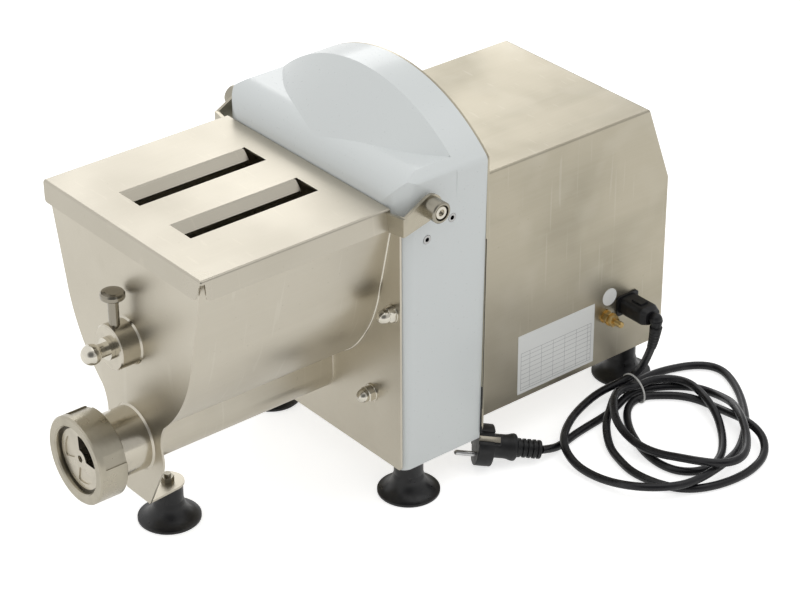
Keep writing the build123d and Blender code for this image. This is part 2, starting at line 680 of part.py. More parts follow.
BULKHEAD_LOW_HALF = 118.5
BULKHEAD_ROUND = 14.0
with BuildPart() as hood_bulkhead:
    arch_shoulder = ARCH_Z + sqrt(ARCH_RADIUS ** 2 - HOOD_TOP_HALF ** 2)
    with BuildSketch(front_plane(BULKHEAD_REAR)) as bulkhead_outline:
        with BuildLine():
            Polyline((-HOOD_TOP_HALF, arch_shoulder), (-BULKHEAD_LOW_HALF, HOOD_BOTTOM),
                     (BULKHEAD_LOW_HALF, HOOD_BOTTOM), (HOOD_TOP_HALF, arch_shoulder))
            ThreePointArc((HOOD_TOP_HALF, arch_shoulder), (0, ARCH_Z + ARCH_RADIUS),
                          (-HOOD_TOP_HALF, arch_shoulder))
        make_face()
        fillet(bulkhead_outline.vertices().group_by(Axis.Y)[0], BULKHEAD_ROUND)
        fillet(bulkhead_outline.vertices().group_by(Axis.Y)[-1], SHOULDER_ROUND)
        with Locations((0, OUTPUT_Z)):
            Circle(SHAFT_RADIUS + 4, mode=Mode.SUBTRACT)
    extrude(amount=BULKHEAD_REAR - HOOD_REAR)
hood_bulkhead.part.label = "hood_bulkhead"
export_step(hood_bulkhead.part, "parts/hood_bulkhead.step")

BASE_SHEET = 3.0
BASE_HALF = 112.0
with BuildPart() as hood_base:
    with BuildSketch(Plane.XY.offset(FOOT_HEIGHT)) as base_outline:
        with Locations((0, (HOOD_FRONT + HOOD_WALL + HOOD_REAR) / 2)):
            Rectangle(2 * BASE_HALF, HOOD_REAR - HOOD_FRONT - HOOD_WALL)
        fillet(base_outline.vertices().group_by(Axis.Y)[0], 6)
        with Locations(*MIDDLE_FEET):
            Circle(BOLT_HOLE, mode=Mode.SUBTRACT)
    extrude(amount=BASE_SHEET)
hood_base.part.label = "hood_base"
export_step(hood_base.part, "parts/hood_base.step")


# ============================== rear housing ==============================

def housing_profile(inset, x):
    """The housing seen from the side, with its sloping rear top."""
    low = HOUSING_BOTTOM if inset == 0 else HOUSING_BOTTOM - 5
    front = BULKHEAD_REAR if inset == 0 else BULKHEAD_REAR - 5
    with BuildSketch(Plane.YZ.offset(x)) as profile:
        Polygon((front, low), (HOUSING_REAR - inset, low), (HOUSING_REAR - inset, HOUSING_KNEE_Z - inset / 3),
                (HOUSING_TOP_REAR - inset * 0.7, HOUSING_TOP - inset), (front, HOUSING_TOP - inset))
    return profile.sketch


VENT_COLUMNS = (-45.0, 45.0)
VENT_ROWS = 8
VENT_LENGTH = 60.0
VENT_HEIGHT = 4.0
VENT_PITCH = 12.0
VENT_LOW = 80.0
INLET_Y = 244.0
INLET_Z = 92.0
EARTH_STUD = (217.6, 87.6)
BUTTONS_Z = 200.0
BUTTONS_Y = 150.0
BASE_TOP = HOUSING_BOTTOM + 2
with BuildPart() as housing_cover:
    extrude(housing_profile(0, -HOUSING_HALF), amount=2 * HOUSING_HALF, dir=(1, 0, 0))
    long_edges = housing_cover.edges().filter_by(Axis.X).sort_by(Axis.Z)
    fillet(long_edges.filter_by(lambda e: e.center().Y > 100 and e.center().Z > 100), 3)
    side_edges = housing_cover.edges().filter_by(lambda e: abs(abs(e.center().X) - HOUSING_HALF) < 0.01)
    fillet(side_edges.filter_by(lambda e: e.center().Z > BASE_TOP and e.center().Y > BULKHEAD_REAR + 1), 2)
    hollow_half = HOUSING_HALF - HOUSING_SHEET
    extrude(housing_profile(HOUSING_SHEET, -hollow_half), amount=2 * hollow_half, dir=(1, 0, 0),
            mode=Mode.SUBTRACT)
    for vent_x in VENT_COLUMNS:
        for row in range(VENT_ROWS):
            vent_z = VENT_LOW + VENT_PITCH * row
            add(block(vent_x - VENT_LENGTH / 2, vent_x + VENT_LENGTH / 2, HOUSING_REAR - 5, HOUSING_REAR + 5,
                      vent_z, vent_z + VENT_HEIGHT), mode=Mode.SUBTRACT)
    add(block(HOUSING_HALF - 5, HOUSING_HALF + 5, INLET_Y - 11.7, INLET_Y + 11.7, INLET_Z - 8.7,
              INLET_Z + 8.7), mode=Mode.SUBTRACT)
    add(block(-HOUSING_HALF - 5, -HOUSING_HALF + 5, BUTTONS_Y - 22, BUTTONS_Y + 22, BUTTONS_Z - 12,
              BUTTONS_Z + 12), mode=Mode.SUBTRACT)
    with BuildSketch(Plane.YZ.offset(HOUSING_HALF - 5)):
        with Locations(EARTH_STUD):
            Circle(3.1)
    extrude(amount=10, mode=Mode.SUBTRACT)
housing_cover.part.label = "housing_cover"
export_step(housing_cover.part, "parts/housing_cover.step")

with BuildPart() as housing_base:
    add(block(-hollow_half, hollow_half, BULKHEAD_REAR, HOUSING_REAR - HOUSING_SHEET, HOUSING_BOTTOM,
              BASE_TOP))
    with BuildSketch(Plane.XY.offset(HOUSING_BOTTOM)):
        with Locations(*REAR_FEET):
            Circle(BOLT_HOLE)
        with GridLocations(9, 60, 9, 1):
            with Locations((0, 225)):
                SlotOverall(26, 4, rotation=90)
    extrude(amount=BASE_TOP - HOUSING_BOTTOM, mode=Mode.SUBTRACT)
housing_base.part.label = "housing_base"
export_step(housing_base.part, "parts/housing_base.step")

LABEL_THICK = 0.4
ROUND_LABEL = (222.3, 105.9)
with BuildPart() as blank_labels:
    add(block(HOUSING_HALF, HOUSING_HALF + LABEL_THICK, 112, 204, 45, 105.5))
    with BuildSketch(Plane.YZ.offset(HOUSING_HALF)):
        with Locations(ROUND_LABEL):
            Circle(8.5)
    extrude(amount=LABEL_THICK)
blank_labels.part.label = "blank_labels"
export_step(blank_labels.part, "parts/blank_labels.step")


# ============================== feet ==============================

FOOT_NECK = 13.0
FOOT_RECESS = 9.0
RECESS_TOP = 10.0
BOLT_FLATS = 10.0


def foot(place):
    """A rubber foot: a wide rim curving up to a neck, with a hole for its bolt."""
    with BuildPart() as rubber:
        with BuildSketch(Plane.XZ):
            with BuildLine():
                Polyline((BOLT_HOLE, RECESS_TOP), (BOLT_HOLE, FOOT_HEIGHT), (FOOT_NECK, FOOT_HEIGHT),
                         (FOOT_NECK, 20.5), (14.2, 16.5))
                ThreePointArc((14.2, 16.5), (18.5, 7.6), (FOOT_RADIUS, 3))
                Polyline((FOOT_RADIUS, 3), (FOOT_RADIUS, 1), (FOOT_RADIUS - 1, 0), (FOOT_RECESS, 0),
                         (FOOT_RECESS, RECESS_TOP), (BOLT_HOLE, RECESS_TOP))
            make_face()
        revolve(axis=Axis.Z)
    return rubber.part.moved(Location((place[0], place[1], 0)))


with BuildPart() as foot_front:
    add(foot(FRONT_FOOT))
foot_front.part.label = "foot_front"
export_step(foot_front.part, "parts/foot_front.step")

for foot_name, foot_place in (("foot_middle_right", MIDDLE_FEET[0]), ("foot_middle_left", MIDDLE_FEET[1]),
                              ("foot_rear_right", REAR_FEET[0]), ("foot_rear_left", REAR_FEET[1])):
    with BuildPart() as one_foot:
        add(foot(foot_place))
    one_foot.part.label = foot_name
    export_step(one_foot.part, "parts/" + foot_name + ".step")


def foot_bolt(place, seat_z):
    """The bolt inside a foot with its head in the foot's recess and its nut on the plate above."""
    with BuildPart() as bolt:
        with BuildSketch(Plane.XY.offset(RECESS_TOP - 5)):
            with Locations(place):
                RegularPolygon(BOLT_FLATS / sqrt(3), 6)
        extrude(amount=5)
        with BuildSketch(Plane.XY.offset(RECESS_TOP)):
            with Locations(place):
                Circle(3)
        extrude(amount=seat_z + 8 - RECESS_TOP)
        with BuildSketch(Plane.XY.offset(seat_z)):
            with Locations(place):
                RegularPolygon(BOLT_FLATS / sqrt(3), 6)
        extrude(amount=5)
    return bolt.part


with BuildPart() as foot_bolts:
    add(foot_bolt(FRONT_FOOT, FOOT_HEIGHT + SHEET))
    for place in MIDDLE_FEET:
        add(foot_bolt(place, FOOT_HEIGHT + BASE_SHEET))
    for place in REAR_FEET:
        add(foot_bolt(place, BASE_TOP))
        with BuildSketch(Plane.XY.offset(FOOT_HEIGHT)):
            with Locations(place):
                Circle(FOOT_NECK - 1)
                Circle(3, mode=Mode.SUBTRACT)
        extrude(amount=HOUSING_BOTTOM - FOOT_HEIGHT)
foot_bolts.part.label = "foot_bolts"
export_step(foot_bolts.part, "parts/foot_bolts.step")


# ============================== gear train ==============================

PRESSURE_ANGLE = radians(25)


def involute(angle):
    return tan(angle) - angle


def gear(teeth, module, front, rear, z, tooth_at, bore):
    """A spur gear with a tooth centred at the given angle; short teeth with a little backlash."""
    pitch = teeth * module / 2
    base = pitch * cos(PRESSURE_ANGLE)
    root = pitch - 1.05 * module
    tip = pitch + 0.8 * module
    half_pitch = pi / (2 * teeth) - 0.06 * module / pitch
    flank = [root] + [max(base, root) + (tip - max(base, root)) * step / 3 for step in range(4)]
    points = []
    for tooth in range(teeth):
        centre = radians(tooth_at) + 2 * pi * tooth / teeth
        widths = []
        for radius in flank:
            pressure = acos(min(1.0, base / max(radius, base)))
            widths.append((radius, half_pitch + involute(PRESSURE_ANGLE) - involute(pressure)))
        for radius, width in widths:
            points.append((radius * cos(centre - width), radius * sin(centre - width)))
        for radius, width in reversed(widths):
            points.append((radius * cos(centre + width), radius * sin(centre + width)))
    with BuildPart() as wheel:
        with BuildSketch(front_plane(rear)):
            with Locations((0, z)):
                Polygon(*points)
                if bore:
                    Circle(bore, mode=Mode.SUBTRACT)
        extrude(amount=rear - front)
    return wheel.part


PINION_TEETH = 14
AUGER_TEETH = 34
MIXER_TEETH = 32
OUTPUT_TEETH = 42
LAY_PINION_TEETH = 12
LAY_TEETH = 60
ROTOR_TEETH = 12
COARSE = 2.0
FINE = 1.5
UP = 90.0
DOWN = -90.0

AUGER_RADIUS = 22.0
AUGER_CORE = 9.0
AUGER_FRONT = -276.0
AUGER_SHOULDER = -43.5
AUGER_LEAD = 34.0
PAIR_FRONT = -4.0
PAIR_REAR = 12.0
SHAFT_REAR = 44.0


def auger_flight():
    """The helical flight, wound about Z and then laid along the barrel."""
    with BuildPart() as flight:
        with BuildLine() as path:
            Helix(pitch=AUGER_LEAD, height=6 * AUGER_LEAD, radius=AUGER_CORE)
        with BuildSketch(Plane(origin=path.line @ 0, x_dir=(1, 0, 0), z_dir=path.line % 0)):
            with Locations(((AUGER_RADIUS - AUGER_CORE - 1) / 2, 0)):
                Rectangle(AUGER_RADIUS - AUGER_CORE + 1, 3)
        sweep(is_frenet=True)
    return flight.part.moved(Location((0, -63, AUGER_Z), (90, 0, 0)))


with BuildPart() as auger:
    add(disc(AUGER_FRONT, AUGER_SHOULDER, AUGER_CORE, z=AUGER_Z))
    add(disc(AUGER_SHOULDER, SHAFT_REAR, SHAFT_RADIUS, z=AUGER_Z))
    add(disc(PILOT_FRONT + 0.7, AUGER_FRONT, PILOT_RADIUS - RUNNING, z=AUGER_Z))
    add(auger_flight())
auger.part.label = "auger"
export_step(auger.part, "parts/auger.step")

with BuildPart() as auger_gear:
    add(gear(AUGER_TEETH, COARSE, PAIR_FRONT, PAIR_REAR, AUGER_Z, UP + 180 / AUGER_TEETH, SHAFT_RADIUS))
auger_gear.part.label = "auger_gear"
export_step(auger_gear.part, "parts/auger_gear.step")

HUB_FRONT = -226.5
HUB_REAR = -48.0
HUB_RADIUS = 13.0
PADDLE_REACH = 66.0
BLADE_HALF = 7.0
BLADE_THICK = 6.0
BLADE_STATIONS = (-205, -175, -145, -115, -85, -60)
DRIVE_HALF = 5.5
DRIVE_TIP = -75.0
with BuildPart() as mixer_paddle:
    add(disc(HUB_FRONT, HUB_REAR, HUB_RADIUS, z=MIXER_Z))
    for index, station in enumerate(BLADE_STATIONS):
        heading = 1 if index % 2 == 0 else -1
        tip = PADDLE_REACH - BLADE_HALF
        root = HUB_RADIUS - 3
        with BuildSketch(Plane.YZ.offset(-BLADE_THICK / 2)) as blade_outline:
            with Locations((station, MIXER_Z + heading * (tip + root) / 2)):
                Rectangle(2 * BLADE_HALF, tip - root)
            with Locations((station, MIXER_Z + heading * tip)):
                Circle(BLADE_HALF)
        extrude(amount=BLADE_THICK)
    add(disc(HUB_FRONT, -203, SHAFT_RADIUS + RUNNING, z=MIXER_Z), mode=Mode.SUBTRACT)
    drive = DRIVE_HALF + 0.1
    add(block(-drive, drive, DRIVE_TIP - 2, HUB_REAR, MIXER_Z - drive, MIXER_Z + drive), mode=Mode.SUBTRACT)
mixer_paddle.part.label = "mixer_paddle"
export_step(mixer_paddle.part, "parts/mixer_paddle.step")

with BuildPart() as mixer_shaft:
    add(disc(-SHAFT_REAR, SHAFT_REAR, SHAFT_RADIUS, z=MIXER_Z))
    add(block(-DRIVE_HALF, DRIVE_HALF, DRIVE_TIP, -SHAFT_REAR, MIXER_Z - DRIVE_HALF, MIXER_Z + DRIVE_HALF))
mixer_shaft.part.label = "mixer_shaft"
export_step(mixer_shaft.part, "parts/mixer_shaft.step")

with BuildPart() as mixer_gear:
    add(gear(MIXER_TEETH, COARSE, PAIR_FRONT, PAIR_REAR, MIXER_Z, DOWN + 180 / MIXER_TEETH, SHAFT_RADIUS))
mixer_gear.part.label = "mixer_gear"
export_step(mixer_gear.part, "parts/mixer_gear.step")

with BuildPart() as output_shaft:
    add(disc(-32, 84, SHAFT_RADIUS, z=OUTPUT_Z))
    add(gear(PINION_TEETH, COARSE, PAIR_FRONT - 2, PAIR_REAR + 2, OUTPUT_Z, UP, 0))
output_shaft.part.label = "output_shaft"
export_step(output_shaft.part, "parts/output_shaft.step")

with BuildPart() as output_gear:
    add(gear(OUTPUT_TEETH, COARSE, 67, 81, OUTPUT_Z, UP + 180 / OUTPUT_TEETH, SHAFT_RADIUS))
output_gear.part.label = "output_gear"
export_step(output_gear.part, "parts/output_gear.step")

with BuildPart() as lay_shaft:
    add(disc(56, 121, SHAFT_RADIUS, z=LAY_Z))
    add(gear(LAY_PINION_TEETH, COARSE, 66, 82, LAY_Z, DOWN, 0))
lay_shaft.part.label = "lay_shaft"
export_step(lay_shaft.part, "parts/lay_shaft.step")

with BuildPart() as lay_gear:
    add(gear(LAY_TEETH, FINE, 91, 101, LAY_Z, DOWN + 180 / LAY_TEETH, SHAFT_RADIUS))
lay_gear.part.label = "lay_gear"
export_step(lay_gear.part, "parts/lay_gear.step")

# ---- plates, spacers, bearings and seals ----
PLATE_HALF = 110.0
FRONT_PLATE_REAR = -23.0
REAR_PLATE_FRONT = 30.0
REAR_PLATE_REAR = 40.0
SPACER_PLACES = ((-44, 60), (44, 60), (-44, 196), (44, 196))
PLATE_LOW = FOOT_HEIGHT + BASE_SHEET
FRONT_PLATE_TOP = 212.0
REAR_PLATE_TOP = 216.0
REAR_PLATE_HALF = 60.0
with BuildPart() as gear_plates:
    with BuildSketch(front_plane(FRONT_PLATE_REAR)):
        with Locations((0, (PLATE_LOW + FRONT_PLATE_TOP) / 2)):
            Rectangle(2 * PLATE_HALF, FRONT_PLATE_TOP - PLATE_LOW)
        with Locations((0, AUGER_Z), (0, OUTPUT_Z), (0, MIXER_Z)):
            Circle(BEARING_RADIUS, mode=Mode.SUBTRACT)
    extrude(amount=FRONT_PLATE_REAR - HOOD_FRONT - HOOD_WALL)
    chamfer(gear_plates.edges().filter_by(Axis.Z).group_by(Axis.Y)[0], 5)
    for stud_x, stud_z in NUT_PLACES:
        add(disc(STUD_TIP, -30, STUD_RADIUS, 0, stud_x, stud_z))
    with BuildSketch(front_plane(REAR_PLATE_REAR)) as rear_gear_plate:
        with Locations((0, (PLATE_LOW + REAR_PLATE_TOP) / 2)):
            Rectangle(2 * REAR_PLATE_HALF, REAR_PLATE_TOP - PLATE_LOW)
        fillet(rear_gear_plate.vertices(), 8)
        with Locations((0, AUGER_Z), (0, OUTPUT_Z), (0, MIXER_Z)):
            Circle(BEARING_RADIUS, mode=Mode.SUBTRACT)
    extrude(amount=REAR_PLATE_REAR - REAR_PLATE_FRONT)
    for spacer_x, spacer_z in SPACER_PLACES:
        add(disc(FRONT_PLATE_REAR, REAR_PLATE_FRONT, 7, 0, spacer_x, spacer_z))
gear_plates.part.label = "gear_plates"
export_step(gear_plates.part, "parts/gear_plates.step")

CASE_FRONT = 53.0
CASE_WALL_REAR = 61.0
CASE_REAR = 113.0
BELL_REAR = 123.0
BEARING_PLACES = ((-33, -23, AUGER_Z), (-33, -23, OUTPUT_Z), (-33, -23, MIXER_Z), (30, 40, AUGER_Z),
                  (30, 40, OUTPUT_Z), (30, 40, MIXER_Z), (53, 61, OUTPUT_Z), (53, 61, LAY_Z),
                  (113, 122, OUTPUT_Z), (113, 122, LAY_Z), (213, 222, OUTPUT_Z))
with BuildPart() as shaft_bearings:
    for bearing_front, bearing_rear, bearing_z in BEARING_PLACES:
        add(disc(bearing_front, bearing_rear, BEARING_RADIUS, SHAFT_RADIUS + RUNNING, z=bearing_z))
shaft_bearings.part.label = "shaft_bearings"
export_step(shaft_bearings.part, "parts/shaft_bearings.step")

with BuildPart() as shaft_seals:
    for seal_z in (AUGER_Z, MIXER_Z):
        add(disc(-41, -34, SEAL_RADIUS, SHAFT_RADIUS + RUNNING, z=seal_z))
shaft_seals.part.label = "shaft_seals"
export_step(shaft_seals.part, "parts/shaft_seals.step")

CASE_HALF = 60.0
CASE_LOW = 90.0
CASE_HIGH = 254.0
CASE_WALL = 6.0
CASE_ROUND = 14.0
with BuildPart() as reducer_case:
    case_middle = (CASE_LOW + CASE_HIGH) / 2
    with BuildSketch(front_plane(CASE_REAR)) as case_outline:
        with Locations((0, case_middle)):
            Rectangle(2 * CASE_HALF, CASE_HIGH - CASE_LOW)
        fillet(case_outline.vertices(), CASE_ROUND)
    extrude(amount=CASE_REAR - CASE_FRONT)
    with BuildSketch(front_plane(CASE_REAR)) as case_hollow:
        with Locations((0, case_middle)):
            Rectangle(2 * (CASE_HALF - CASE_WALL), CASE_HIGH - CASE_LOW - 2 * CASE_WALL)
        fillet(case_hollow.vertices(), CASE_ROUND - CASE_WALL)
    extrude(amount=CASE_REAR - CASE_WALL_REAR, mode=Mode.SUBTRACT)
    for bearing_z in (OUTPUT_Z, LAY_Z):
        add(disc(CASE_FRONT, CASE_WALL_REAR, BEARING_RADIUS, z=bearing_z), mode=Mode.SUBTRACT)
reducer_case.part.label = "reducer_case"
export_step(reducer_case.part, "parts/reducer_case.step")


# ============================== motor ==============================

STATOR_RADIUS = 55.0
STATOR_FRONT = 130.0
STATOR_REAR = 200.0
BELL_WALL = 6.0
BELL_CAP_REAR = 223.0
SHAFT_HOLE = SHAFT_RADIUS + 1.5
SEAT_REAR = 122.0
with BuildPart() as motor_end_bells:
    with BuildSketch(front_plane(BELL_REAR)) as bell_flange:
        with Locations((0, case_middle)):
            Rectangle(2 * CASE_HALF, CASE_HIGH - CASE_LOW)
        fillet(bell_flange.vertices(), CASE_ROUND)
    extrude(amount=BELL_REAR - CASE_REAR)
    add(disc(BELL_REAR, STATOR_FRONT, STATOR_RADIUS, STATOR_RADIUS - BELL_WALL, z=OUTPUT_Z))
    for seat_z in (LAY_Z, OUTPUT_Z):
        add(disc(CASE_REAR, SEAT_REAR, BEARING_RADIUS, z=seat_z), mode=Mode.SUBTRACT)
    add(disc(CASE_REAR, BELL_REAR, SHAFT_HOLE, z=OUTPUT_Z), mode=Mode.SUBTRACT)
    add(disc(STATOR_REAR, BELL_CAP_REAR, STATOR_RADIUS, z=OUTPUT_Z))
    add(disc(STATOR_REAR, 212, STATOR_RADIUS - BELL_WALL, z=OUTPUT_Z), mode=Mode.SUBTRACT)
    add(disc(213, 222, BEARING_RADIUS, z=OUTPUT_Z), mode=Mode.SUBTRACT)
    add(disc(STATOR_REAR, BELL_CAP_REAR, SHAFT_HOLE, z=OUTPUT_Z), mode=Mode.SUBTRACT)
motor_end_bells.part.label = "motor_end_bells"
export_step(motor_end_bells.part, "parts/motor_end_bells.step")

ROTOR_RADIUS = 32.0
AIR_GAP = 0.6
with BuildPart() as motor_stator:
    add(disc(STATOR_FRONT, STATOR_REAR, STATOR_RADIUS, ROTOR_RADIUS + AIR_GAP, z=OUTPUT_Z))
motor_stator.part.label = "motor_stator"
export_step(motor_stator.part, "parts/motor_stator.step")

with BuildPart() as rotor:
    add(disc(102, 240, SHAFT_RADIUS, z=OUTPUT_Z))
    add(gear(ROTOR_TEETH, FINE, 89, 103, OUTPUT_Z, UP, 0))
    add(disc(STATOR_FRONT, STATOR_REAR, ROTOR_RADIUS, z=OUTPUT_Z))
rotor.part.label = "rotor"
export_step(rotor.part, "parts/rotor.step")

FAN_FRONT = 227.0
FAN_REAR = 239.0
FAN_BLADES = 9
with BuildPart() as cooling_fan:
    add(disc(FAN_FRONT, FAN_REAR, 14, z=OUTPUT_Z))
    with BuildSketch(front_plane(FAN_REAR)):
        with Locations((0, OUTPUT_Z)):
            with PolarLocations(29, FAN_BLADES):
                Rectangle(36, 3)
    extrude(amount=FAN_REAR - FAN_FRONT)
    add(disc(FAN_FRONT, FAN_FRONT + 1.5, 46, z=OUTPUT_Z))
    add(disc(FAN_FRONT, FAN_REAR, SHAFT_RADIUS, z=OUTPUT_Z), mode=Mode.SUBTRACT)
cooling_fan.part.label = "cooling_fan"
export_step(cooling_fan.part, "parts/cooling_fan.step")

SADDLE_STATIONS = (138, 180)
SADDLE_THICK = 12.0
SADDLE_HALF = 48.0
SADDLE_TOP = 110.0
with BuildPart() as motor_cradle:
    for saddle_y in SADDLE_STATIONS:
        add(block(-SADDLE_HALF, SADDLE_HALF, saddle_y, saddle_y + SADDLE_THICK, BASE_TOP, SADDLE_TOP))
    add(disc(STATOR_FRONT, STATOR_REAR, STATOR_RADIUS, z=OUTPUT_Z), mode=Mode.SUBTRACT)
motor_cradle.part.label = "motor_cradle"
export_step(motor_cradle.part, "parts/motor_cradle.step")

CAPACITOR = (-74.0, 165.0)
CAPACITOR_TALL = 80.0
with BuildPart() as run_capacitor:
    add(turned([(0, 0), (18, 0), (18, CAPACITOR_TALL - 4), (16, CAPACITOR_TALL), (0, CAPACITOR_TALL)],
               (*CAPACITOR, BASE_TOP), (0, 0, 1)))
    with BuildSketch(Plane.XY.offset(BASE_TOP + CAPACITOR_TALL)):
        with Locations((CAPACITOR[0] - 5, CAPACITOR[1]), (CAPACITOR[0] + 5, CAPACITOR[1])):
            Rectangle(1, 6)
    extrude(amount=8)
run_capacitor.part.label = "run_capacitor"
export_step(run_capacitor.part, "parts/run_capacitor.step")


# ============================== switches on the left side ==============================

START_Y = BUTTONS_Y - 10
STOP_Y = BUTTONS_Y + 10
BEZEL = 2.5
BUTTON_RADIUS = 7.3
with BuildPart() as switch_box:
    add(block(-HOUSING_HALF - BEZEL, -HOUSING_HALF, BUTTONS_Y - 26, BUTTONS_Y + 26, BUTTONS_Z - 16,
              BUTTONS_Z + 16))
    add(block(-HOUSING_HALF, -HOUSING_HALF + 26, BUTTONS_Y - 21.6, BUTTONS_Y + 21.6, BUTTONS_Z - 11.6,
              BUTTONS_Z + 11.6))
    with BuildSketch(Plane.YZ.offset(-HOUSING_HALF - BEZEL - 0.5)):
        with Locations((START_Y, BUTTONS_Z), (STOP_Y, BUTTONS_Z)):
            Circle(BUTTON_RADIUS + 0.3)
    extrude(amount=14, mode=Mode.SUBTRACT)
switch_box.part.label = "switch_box"
export_step(switch_box.part, "parts/switch_box.step")


def push_button(y, proud):
    """A round push button whose cap stands proud of the bezel."""
    cap = -HOUSING_HALF - BEZEL - proud
    return turned([(0, 0), (BUTTON_RADIUS - 0.7, 0), (BUTTON_RADIUS, 0.7), (BUTTON_RADIUS, 9), (0, 9)],
                  (cap, y, BUTTONS_Z), (1, 0, 0))


with BuildPart() as start_button:
    add(push_button(START_Y, 3.4))
start_button.part.label = "start_button"
export_step(start_button.part, "parts/start_button.step")

with BuildPart() as stop_button:
    add(push_button(STOP_Y, 4.4))
stop_button.part.label = "stop_button"
export_step(stop_button.part, "parts/stop_button.step")


# ============================== earth stud, inlet and cord ==============================

STUD_END = 87.2
STUD_PROFILE = [(0, 0), (2.7, 0), (2.7, 22), (3, 22), (3, 31), (2.4, 31.8), (0, 31.8)]
STUD_WASHERS = (HOUSING_HALF, HOUSING_HALF + 7.2)
STUD_NUTS = ((STUD_END + 0.4, 7.4), (HOUSING_HALF + 1.2, 5), (HOUSING_HALF + 8.4, 5))
with BuildPart() as earth_stud:
    add(turned(STUD_PROFILE, (STUD_END, *EARTH_STUD), (1, 0, 0)))
    for seat in STUD_WASHERS:
        add(turned([(2.5, 0), (6.5, 0), (6.5, 1.2), (2.5, 1.2)], (seat, *EARTH_STUD), (1, 0, 0)))
    for nut_seat, nut_height in STUD_NUTS:
        with BuildSketch(Plane.YZ.offset(nut_seat)):
            with Locations(EARTH_STUD):
                RegularPolygon(BOLT_FLATS / sqrt(3), 6)
        extrude(amount=nut_height)
earth_stud.part.label = "earth_stud"
export_step(earth_stud.part, "parts/earth_stud.step")

FLANGE_THICK = 2.0
BLADES = ((INLET_Y - 6, INLET_Z - 2), (INLET_Y + 6, INLET_Z - 2), (INLET_Y, INLET_Z + 3))
with BuildPart() as inlet_socket:
    with BuildSketch(Plane.YZ.offset(HOUSING_HALF)) as inlet_flange:
        with Locations((INLET_Y, INLET_Z)):
            Rectangle(26, 20)
        fillet(inlet_flange.vertices(), 3)
    extrude(amount=FLANGE_THICK)
    add(block(72, HOUSING_HALF, INLET_Y - 11.5, INLET_Y + 11.5, INLET_Z - 8.5, INLET_Z + 8.5))
    add(block(80, HOUSING_HALF + 3, INLET_Y - 10, INLET_Y + 10, INLET_Z - 7, INLET_Z + 7), mode=Mode.SUBTRACT)
    for blade_y, blade_z in BLADES:
        add(block(79, 95, blade_y - 1, blade_y + 1, blade_z - 2, blade_z + 2))
inlet_socket.part.label = "inlet_socket"
export_step(inlet_socket.part, "parts/inlet_socket.step")

CONNECTOR_FRONT = HOUSING_HALF + FLANGE_THICK
CONNECTOR_SECTIONS = ((CONNECTOR_FRONT, 21, 17), (125, 21, 17), (131, 17, 13.5))
ELBOW_RADIUS = 6.2
with BuildPart() as cord_connector:
    for section_x, width, height in CONNECTOR_SECTIONS:
        with BuildSketch(Plane.YZ.offset(section_x)) as grip_section:
            with Locations((INLET_Y, INLET_Z)):
                Rectangle(width, height)
            fillet(grip_section.vertices(), 5)
    loft(ruled=True)
    add(block(108, 120, INLET_Y - 4.5, INLET_Y + 4.5, INLET_Z, INLET_Z + 10))
    add(block(82, CONNECTOR_FRONT, INLET_Y - 9, INLET_Y + 9, INLET_Z - 6, INLET_Z + 6))
    with Locations((CORD_EXIT[0] - 0.8, INLET_Y, INLET_Z - 0.6)):
        Sphere(ELBOW_RADIUS)
    add(turned([(0, 0), (6, 0), (4.6, 7), (0, 7)], (CORD_EXIT[0], INLET_Y, CORD_EXIT[2] + 7), (0, 0, -1)))
    for blade_y, blade_z in BLADES:
        add(block(81, 97, blade_y - 1.4, blade_y + 1.4, blade_z - 2.4, blade_z + 2.4), mode=Mode.SUBTRACT)
cord_connector.part.label = "cord_connector"
export_step(cord_connector.part, "parts/cord_connector.step")


def bend_radii(name, points):
    """The largest arc that each corner of a cord's route allows; prints them."""
    radii = []
    for before, here, after in zip(points, points[1:], points[2:]):
        into = Vector(*here) - Vector(*before)
        out = Vector(*after) - Vector(*here)
        turn = radians(into.get_angle(out))
        radii.append(0.45 * min(into.length, out.length) / tan(turn / 2))
    print(name, "bend radii", [round(radius) for radius in radii])
    return radii


def cord_tube(name, points):
    """A round cord along straight runs joined by tangent arcs."""
    with BuildPart() as tube:
        with BuildLine() as route:
            FilletPolyline(*points, radius=bend_radii(name, points))
        with BuildSketch(Plane(origin=route.line @ 0, z_dir=route.line % 0)):
            Circle(CORD / 2)
        sweep()
    length = route.wires()[0].length
    expected = pi * (CORD / 2) ** 2 * length
    print(name, "length", round(length, 1), "volume ratio", round(tube.part.volume / expected, 4))
    return tube.part


with BuildPart() as cord_lead:
    add(cord_tube("cord_lead", LEAD))
cord_lead.part.label = "cord_lead"
export_step(cord_lead.part, "parts/cord_lead.step")

with BuildPart() as cord_tail:
    add(cord_tube("cord_tail", TAIL))
cord_tail.part.label = "cord_tail"
export_step(cord_tail.part, "parts/cord_tail.step")

with BuildPart() as cord_coil:
    with BuildSketch(Plane.XY):
        with Locations(COIL_CENTRE):
            Ellipse(*COIL_HALVES)
        with Locations(COIL_HOLE_CENTRE):
            Ellipse(*COIL_HOLE_HALVES, mode=Mode.SUBTRACT)
    extrude(amount=COIL_HEIGHT)
cord_coil.part.label = "cord_coil"
export_step(cord_coil.part, "parts/cord_coil.step")

TIE_Y = 241.0
TIE_HALF = 3.0
TIE_LEFT = 99.8
TIE_RIGHT = 128.4
TIE_WALL = 1.4
with BuildPart() as cord_tie:
    add(block(TIE_LEFT, TIE_RIGHT, TIE_Y - TIE_HALF, TIE_Y + TIE_HALF, 0, COIL_HEIGHT + TIE_WALL))
    add(block(TIE_LEFT + TIE_WALL, TIE_RIGHT - TIE_WALL, TIE_Y - 4, TIE_Y + 4, -1, COIL_HEIGHT),
        mode=Mode.SUBTRACT)
cord_tie.part.label = "cord_tie"
export_step(cord_tie.part, "parts/cord_tie.step")

